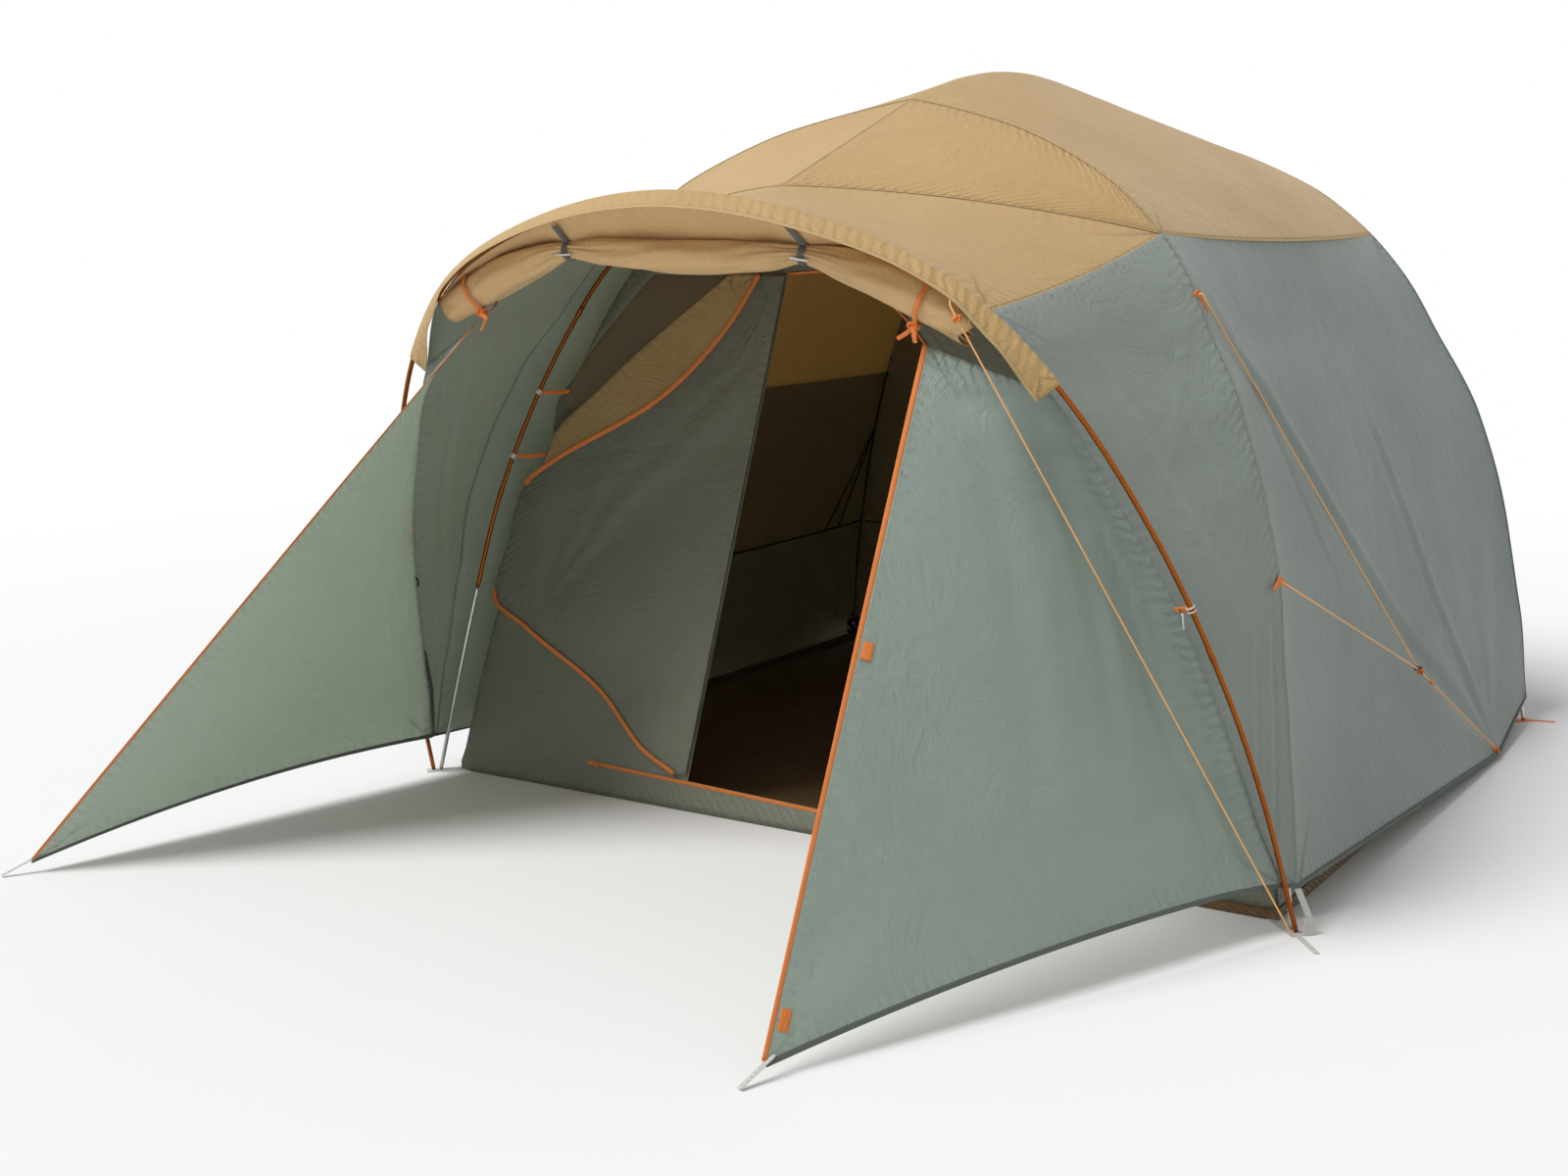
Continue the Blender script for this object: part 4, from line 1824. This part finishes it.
@dataclass
class Poles:
    """The shock-corded poles: legs in silver and copper, the ridge pole and the porch arch."""

    radius: float = 0.00625
    lower_length: float = 0.566
    ferrule_step: float = 0.290
    ferrule_length: float = 0.034
    swell: float = 1.17
    socket_floor: float = 0.0135
    seat: float = 0.0003
    porch_ferrules: tuple[float, ...] = (0.15, 0.38, 0.62, 0.85)
    ferrule_ramp: float = 0.0015
    ferrule_lip: float = 0.0002
    station: float = 0.012
    end_round: float = 0.0012
    end_share: float = 0.86

    def section(self, name: str, line: Array, start: float, end: float, look: Look, side: Array,
                ferrules: Sequence[float] = ()) -> None:
        """Build one pole section that swells at its ferrules and replaces its node.

        Args:
            name: The node's name.
            line: The pole's whole centre line.
            start: Where the section starts along it.
            end: Where it ends.
            look: Its finish.
            side: The direction that its section is turned by.
            ferrules: The middles of its ferrules along the line.
        """
        half, ramp, lip = self.ferrule_length / 2, self.ferrule_ramp, self.ferrule_lip
        steps = np.array([-half - lip, -half, -half + ramp, half - ramp, half, half + lip])
        marks = [np.linspace(start, end, max(8, int((end - start) / self.station)))]
        run = np.unique(np.concatenate(marks + [middle + steps for middle in ferrules]))
        gap = np.min([np.full(len(run), end), *(np.abs(run - middle) for middle in ferrules)], axis=0)
        radius = self.radius * (1.0 + (self.swell - 1.0) * np.clip((half - gap) / ramp, 0.0, 1.0))
        ends = np.minimum(run - start, end - run)
        radius = radius * np.clip(self.end_share + ends / self.end_round * (1.0 - self.end_share), 0.0, 1.0)
        piece = tube(f"{name}_tube", at_length(line, run), side, radius, radius, look, sides=20)
        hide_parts(name)

    def ridge(self) -> Array:
        """Return the ridge pole's centre line: a parabola over the hubs with straighter ends."""
        t = np.linspace(-1.0, 1.0, 9)
        hub, end = np.array(LINES.hub), np.array(LINES.ridge_end)
        middle = np.stack([np.zeros(9), -hub[1] * t, hub[2] + LINES.ridge_rise * (1.0 - t ** 2)], axis=1)
        bend = np.array([0.0, (end[1] + hub[1]) / 2, (end[2] + hub[2]) / 2 + 0.006])
        return curve_through(np.vstack([end, bend, middle, flipped(bend), flipped(end)]))

    def build(self) -> None:
        """Build every pole section."""
        line = LINES.leg
        total = run_of(line)[-1]
        first = self.lower_length + self.ferrule_step
        inner = self.socket_floor + self.seat
        for end_name, front in (("front", 1.0), ("rear", -1.0)):
            for side_name, right in SIDES:
                path = line * np.array([right, front, 1.0])
                side = np.cross(unit(path[-1] - path[0]), UP)
                leg, low = f"{end_name}_{side_name}", self.lower_length
                self.section(f"leg_lower_{leg}", path, 0.0, low, Look.SILVER, side)
                self.section(f"leg_upper_{leg}", path, low + self.seat, total - inner, Look.COPPER, side,
                             (first, first + 2 * self.ferrule_step))
        ridge = self.ridge()
        run = run_of(ridge)[-1]
        hub = length_at(ridge, LINES.hub[1], 1)
        for name, start, end, ferrules in (("front", 0.0, hub - inner, ()),
                                           ("middle", hub + inner, run - hub - inner, (run / 2,)),
                                           ("rear", run - hub + inner, run, ())):
            self.section(f"ridge_pole_{name}", ridge, start, end, Look.COPPER, RIGHT, ferrules)
        arch = whole(LINES.porch)
        length = run_of(arch)[-1]
        self.section("porch_pole", arch, 0.0, length, Look.COPPER, LINES.forward,
                     [length * part for part in self.porch_ferrules])


# Guylines and fittings


@dataclass
class Guylines:
    """The braided guylines on the right, from the fly's corner and from the brow."""

    radius: float = 0.0021
    high: float = 1.443
    low: float = 0.806
    standoff: float = 0.0047
    tab: float = 0.015
    ring: Colour = (1.268, -0.076, 0.409)
    ring_radius: float = 0.010
    ring_wire: float = 0.0022
    seat: float = 0.0003
    brow_x: float = 0.690
    brow_foot: Colour = (1.3185, -1.2600, 0.0080)
    brow_clear: float = 0.030
    peg_step: Colour = (0.00325, 0.0, 0.004)
    sewn_way: Colour = (0.85, -0.53, 0.35)
    tab_face: Colour = (0.78, -0.52, 0.1)
    brow_wall: float = 0.0025

    def corner(self, height: float) -> Array:
        """Return the point outside the fly's corner at a height, where a guyline is sewn on."""
        line = LINES.lifted(LINES.pull_front, self.standoff)
        return at_length(line, length_at(line, height))

    def cord(self, name: str, path: Array) -> None:
        """Args:
            name: The node's name.
            path: Its centre line from the end where it leaves the tent.
        """
        side = np.array([0.3, 0.2, 0.93])
        piece = tube(f"{name}_cord", path, side, self.radius, self.radius, Look.CORD, sides=12)
        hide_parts(name)

    def build(self) -> None:
        """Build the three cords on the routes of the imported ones."""
        high, low, ring = self.corner(self.high), self.corner(self.low), np.array(self.ring)
        peg = np.array(RainFly.peg) + np.array(self.peg_step)
        pull = unit(peg - ring)
        through = unit(low - ring) - unit(high - ring)
        through = unit(through - pull * (through @ pull))
        wire = ring - pull * self.ring_radius
        bend = self.ring_wire + self.radius + self.seat
        angle = np.array([-1.25, -0.6, 0.0, 0.6, 1.25])[:, None]
        turn = wire + bend * (pull * np.cos(angle) + through * np.sin(angle))
        start = high + np.array(self.sewn_way) * self.tab
        share = np.linspace(0.0, 1.0, 24)[:, None]
        upper = np.vstack([high, start + (turn[0] - start) * share, turn[1:-1],
                           turn[-1] + (low - turn[-1]) * share])
        self.cord("guy_upper", upper)
        first = ring + pull * (self.ring_radius + self.ring_wire + self.seat)
        self.cord("guy_lower", first + (peg - first) * share)
        line = LINES.porch
        place = at_length(line, length_at(line, self.brow_x, 0))
        reach = Porch.sleeve + self.brow_wall + self.radius + self.seat
        foot = np.array(self.brow_foot)
        clear = place + LINES.forward * (reach + self.brow_clear)
        clear = clear + (foot - clear) * 0.02
        path = np.vstack([place + LINES.forward * reach, clear + (foot - clear) * share])
        self.cord("brow_guyline", path)
        out = unit(np.array(self.tab_face))
        for name, place in (("upper", high), ("lower", low)):
            way = unit(ring - place)
            line = place + way * np.linspace(-0.012, 0.058, 16)[:, None] - out * 0.0008
            wide = np.interp(np.linspace(0.0, 1.0, 16), [0.0, 0.35, 1.0], [0.0100, 0.0085, 0.0032])
            tube(f"guy_tab_{name}", line, np.cross(out, way), wide, 0.0016, Look.ORANGE, sides=12)
        way = unit(foot - clear)
        # This tab lies at the lower sewn point and not at the brow, which is a known fault of place.
        tab = low + LINES.forward * np.linspace(0.0100, reach + self.brow_clear, 12)[:, None]
        wide = np.linspace(0.0085, 0.0045, 12)
        tube("brow_guy_tab", tab, along_of(LINES.porch, low), wide, 0.0016, Look.ORANGE)
        for name, place, way, size, thick in (("brow_guy_knot", clear + way * 0.030, way, 0.0062, 0.0026),
                                              ("guy_knot_ring", ring + pull * 0.024, pull, 0.0060, 0.0025),
                                              ("guy_knot_peg", peg - pull * 0.045, pull, 0.0055, 0.0024)):
            tie_knot(name, place, way, size, thick, Look.ORANGE)


@dataclass
class Fittings:
    """The clips on the front legs and the hanging bars on the porch pole."""

    clip_heights: tuple[float, float] = (0.946, 1.132)
    clip_length: float = 0.014
    ring: float = 0.0088
    bar_height: float = 0.790
    bar_pivot: Colour = (1.11385, -1.51106, 0.78433)
    bar_half: float = 0.021
    clip_wire: float = 0.0019
    clip_shift: float = 0.0048

    def leg_clip(self, height: float, turn: Array, inner: InnerTent) -> None:
        """Build one clip: a doubled ring on the leg and its tab to the inner tent's corner.

        Args:
            height: How high it sits.
            turn: The mirror of its side.
            inner: The inner tent that it holds.
        """
        name = f"leg_clip_{'left' if turn[0] < 0 else 'right'}_{int(height * 1000)}"
        leg = LINES.leg
        at = length_at(leg, height)
        step = np.array([-0.5, -0.499, -0.18, 0.0, 0.18, 0.499, 0.5]) * self.clip_length
        girth = np.array([0.0072, self.ring, self.ring, 0.0076, self.ring, self.ring, 0.0072])
        ring = at_length(leg, at + step) * turn
        tube(f"{name}_ring", ring, INTO, girth, girth, Look.CREAM, sides=24)
        x = float(np.interp(height, inner.half[:, 2], inner.half[:, 0]))
        corner = np.array([x, -float(inner.end_at(height)) + 0.004, height]) * turn
        line = straight(corner, ring[3] + (corner - ring[3]) * 0.12, 12)
        line[:, 2] -= 0.004 * bump_at(np.linspace(0.0, 1.0, 12))
        tube(f"{name}_tab", line, UP, 0.0062, 0.0011, Look.ORANGE, sides=12)

    def hanging_bar(self, name: str, turn: Array) -> None:
        """Build one hanging bar with its strap, both swinging with their joint.

        Args:
            name: The side that it is on.
            turn: The mirror of its side.
        """
        line = LINES.porch
        at = length_at(line, self.bar_height)
        along = unit(at_length(line, at + 0.01) - at_length(line, at - 0.01))
        side = np.cross(LINES.forward, along)
        way = unit(side * float(table_at(LINES.fold_inset, self.bar_height)) - LINES.forward * LINES.behind_pole)
        out = unit(LINES.forward * 0.63 - side * 0.85)
        pivot = np.array(self.bar_pivot)
        hang = pivot - UP * 0.024 + out * 0.017
        reach = unit(way * 0.4 - along * 0.9) * self.bar_half
        body = f"hanging_bar_{name}"
        strap = straight(pivot, hang, 8) * turn
        tube(f"bar_strap_{name}", strap, reach * turn, 0.0050, 0.0010, Look.DARK_STRAP, body, sides=12)
        share = np.array([-1.0, -0.99, -0.94, -0.3, 0.3, 0.94, 0.99, 1.0])[:, None]
        girth = np.array([0.0018, 0.0028, 0.0031, 0.0029, 0.0029, 0.0031, 0.0028, 0.0018])
        bar = tube(f"bar_{name}", (hang + reach * share) * turn, np.array([0.1, 0.9, 0.2]), girth, girth,
                   Look.SILVER, body)
        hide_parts(f"side_toggle_{name}")

    def pole_clip(self, name: str, turn: Array) -> None:
        """Build one clip on the porch pole: two cream rings and the orange tab behind them.

        Args:
            name: The side that it is on.
            turn: The mirror of its side.
        """
        line = LINES.porch
        at = length_at(line, self.bar_height)
        along = tangents(line)[int(np.argmin(np.abs(run_of(line) - at)))]
        side = np.cross(LINES.forward, along)
        inset = float(table_at(LINES.fold_inset, self.bar_height))
        middle = at_length(line, at)
        fold = middle + side * inset - LINES.forward * LINES.behind_pole
        way = unit(fold - middle)
        across_way = np.cross(way, along)
        angle = np.radians(np.linspace(0.0, 350.0, 41))[:, None]
        for label, shift in (("upper", self.clip_shift), ("lower", -self.clip_shift)):
            loop = middle + along * shift + self.ring * (way * np.cos(angle) + across_way * np.sin(angle))
            ring = tube(f"pole_clip_{name}_{label}", loop * turn, along * turn, self.clip_wire, self.clip_wire,
                        Look.CREAM, sides=10)
        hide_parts(f"pole_clip_{name}")
        line = middle + way * np.linspace(0.0082, float(np.linalg.norm(fold - middle)) + 0.004, 10)[:, None]
        tube(f"pole_clip_{name}_tab", line * turn, along * turn, 0.0072, 0.0012, Look.ORANGE, sides=12)

    def build(self, inner: InnerTent) -> None:
        """Build the clips and bars of both sides.

        Args:
            inner: The inner tent that the clips hold.
        """
        for name, sign in SIDES:
            turn = side_of(sign)
            for height in self.clip_heights:
                self.leg_clip(height, turn, inner)
            self.hanging_bar(name, turn)
            self.pole_clip(name, turn)


def dress_nodes() -> None:
    """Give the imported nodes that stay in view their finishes."""
    looks = {Look.NYLON: ("hub_front", "hub_rear", "guy_ring"),
             Look.ORANGE: ("guy_tensioner", "sill_slider", "corner_tab_rear_left", "corner_tab_rear_right"),
             Look.SILVER: ("roll_toggle_left", "roll_toggle_right"),
             Look.WEBBING: ("corner_buckle", "corner_strap", "corner_tab_front_left", "corner_tab_front_right")}
    for look, names in looks.items():
        for name in names:
            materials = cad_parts[name].data.materials
            materials.clear()
            materials.append(look.material)


# Stage


@dataclass
class Stage:
    """The pale floor, the plain light and the camera at the photograph's viewing angle."""

    place: Colour = (2.646, -5.567, 1.579)
    yaw: float = -32.09
    pitch: float = 10.01
    roll: float = 0.18
    lens: float = 45.81
    world_level: float = 0.42
    key_level: float = 2.7
    key_size: float = 30.0
    key_turn: Colour = (36.0, -14.0, -16.0)

    def build_camera(self) -> None:
        """Place the camera by its heading, tilt and roll."""
        data = bpy.data.cameras.new("camera")
        data.lens = self.lens
        data.sensor_width = 36.0
        data.clip_end = 100.0
        camera = link("camera", data)
        yaw, pitch, roll = (math.radians(a) for a in (self.yaw, self.pitch, self.roll))
        ahead = np.array([math.sin(yaw) * math.cos(pitch), math.cos(yaw) * math.cos(pitch), -math.sin(pitch)])
        right = np.array([math.cos(yaw), -math.sin(yaw), 0.0])
        up = np.cross(right, ahead)
        turned = right * math.cos(roll) + up * math.sin(roll)
        upright = -right * math.sin(roll) + up * math.cos(roll)
        matrix = np.eye(4)
        matrix[:3, 0], matrix[:3, 1], matrix[:3, 2], matrix[:3, 3] = turned, upright, -ahead, self.place
        camera.matrix_world = Matrix(matrix.tolist())
        bpy.context.scene.camera = camera

    def build_floor(self) -> None:
        """Lay the pale floor, which shows white to the camera far from the tent."""
        mesh = bpy.data.meshes.new("floor")
        mesh.from_pydata([(-60, -60, 0), (60, -60, 0), (60, 60, 0), (-60, 60, 0)], [], [(0, 1, 2, 3)])
        floor = link("floor", mesh)
        g = Graph(bpy.data.materials.new("pale_floor"))
        g.fill(g.shader, {"Base Color": (0.86, 0.86, 0.86, 1.0), "Roughness": 0.9, "Specular IOR Level": 0.1})
        away = g.add("VectorMath", {0: g.place()}, operation="LENGTH").outputs["Value"]
        share = g.times(g.steps(away, 2.2, 7.0), g.seen())
        white = g.add("Emission", {"Color": (1.0, 1.0, 1.0, 1.0), "Strength": 1.0})
        g.surface(g.add("MixShader", {0: share, 1: g.shader.outputs[0], 2: white.outputs[0]}))
        mesh.materials.append(g.owner)

    def build_light(self) -> None:
        """Light the scene with a plain world and one soft sun from the viewer's left."""
        world = bpy.data.worlds.new("studio")
        g = Graph(world, "Background")
        level = g.add("MapRange", {"Value": g.seen(), "To Min": self.world_level, "To Max": 1.0})
        g.fill(g.shader, {"Color": (1.0, 1.0, 1.0, 1.0), "Strength": level.outputs[0]})
        bpy.context.scene.world = world
        sun = bpy.data.lights.new("key", "SUN")
        sun.energy, sun.angle = self.key_level, math.radians(self.key_size)
        link("key", sun).rotation_euler = tuple(math.radians(a) for a in self.key_turn)

    def build(self) -> None:
        """Build the camera, the floor and the light."""
        bpy.context.scene.view_settings.view_transform = "Standard"
        self.build_camera()
        self.build_floor()
        self.build_light()


def main() -> None:
    """Build the whole scene around the frame."""
    logging.basicConfig(level=logging.INFO, format="%(name)s: %(message)s")
    Stage().build()
    Guylines().build()
    Poles().build()
    RainFly().build()
    Porch().build()
    RolledDoor().build()
    inner = InnerTent()
    inner.build()
    InnerDoor(inner).build()
    Fittings().build(inner)
    dress_nodes()


if __name__ == "__main__":
    main()
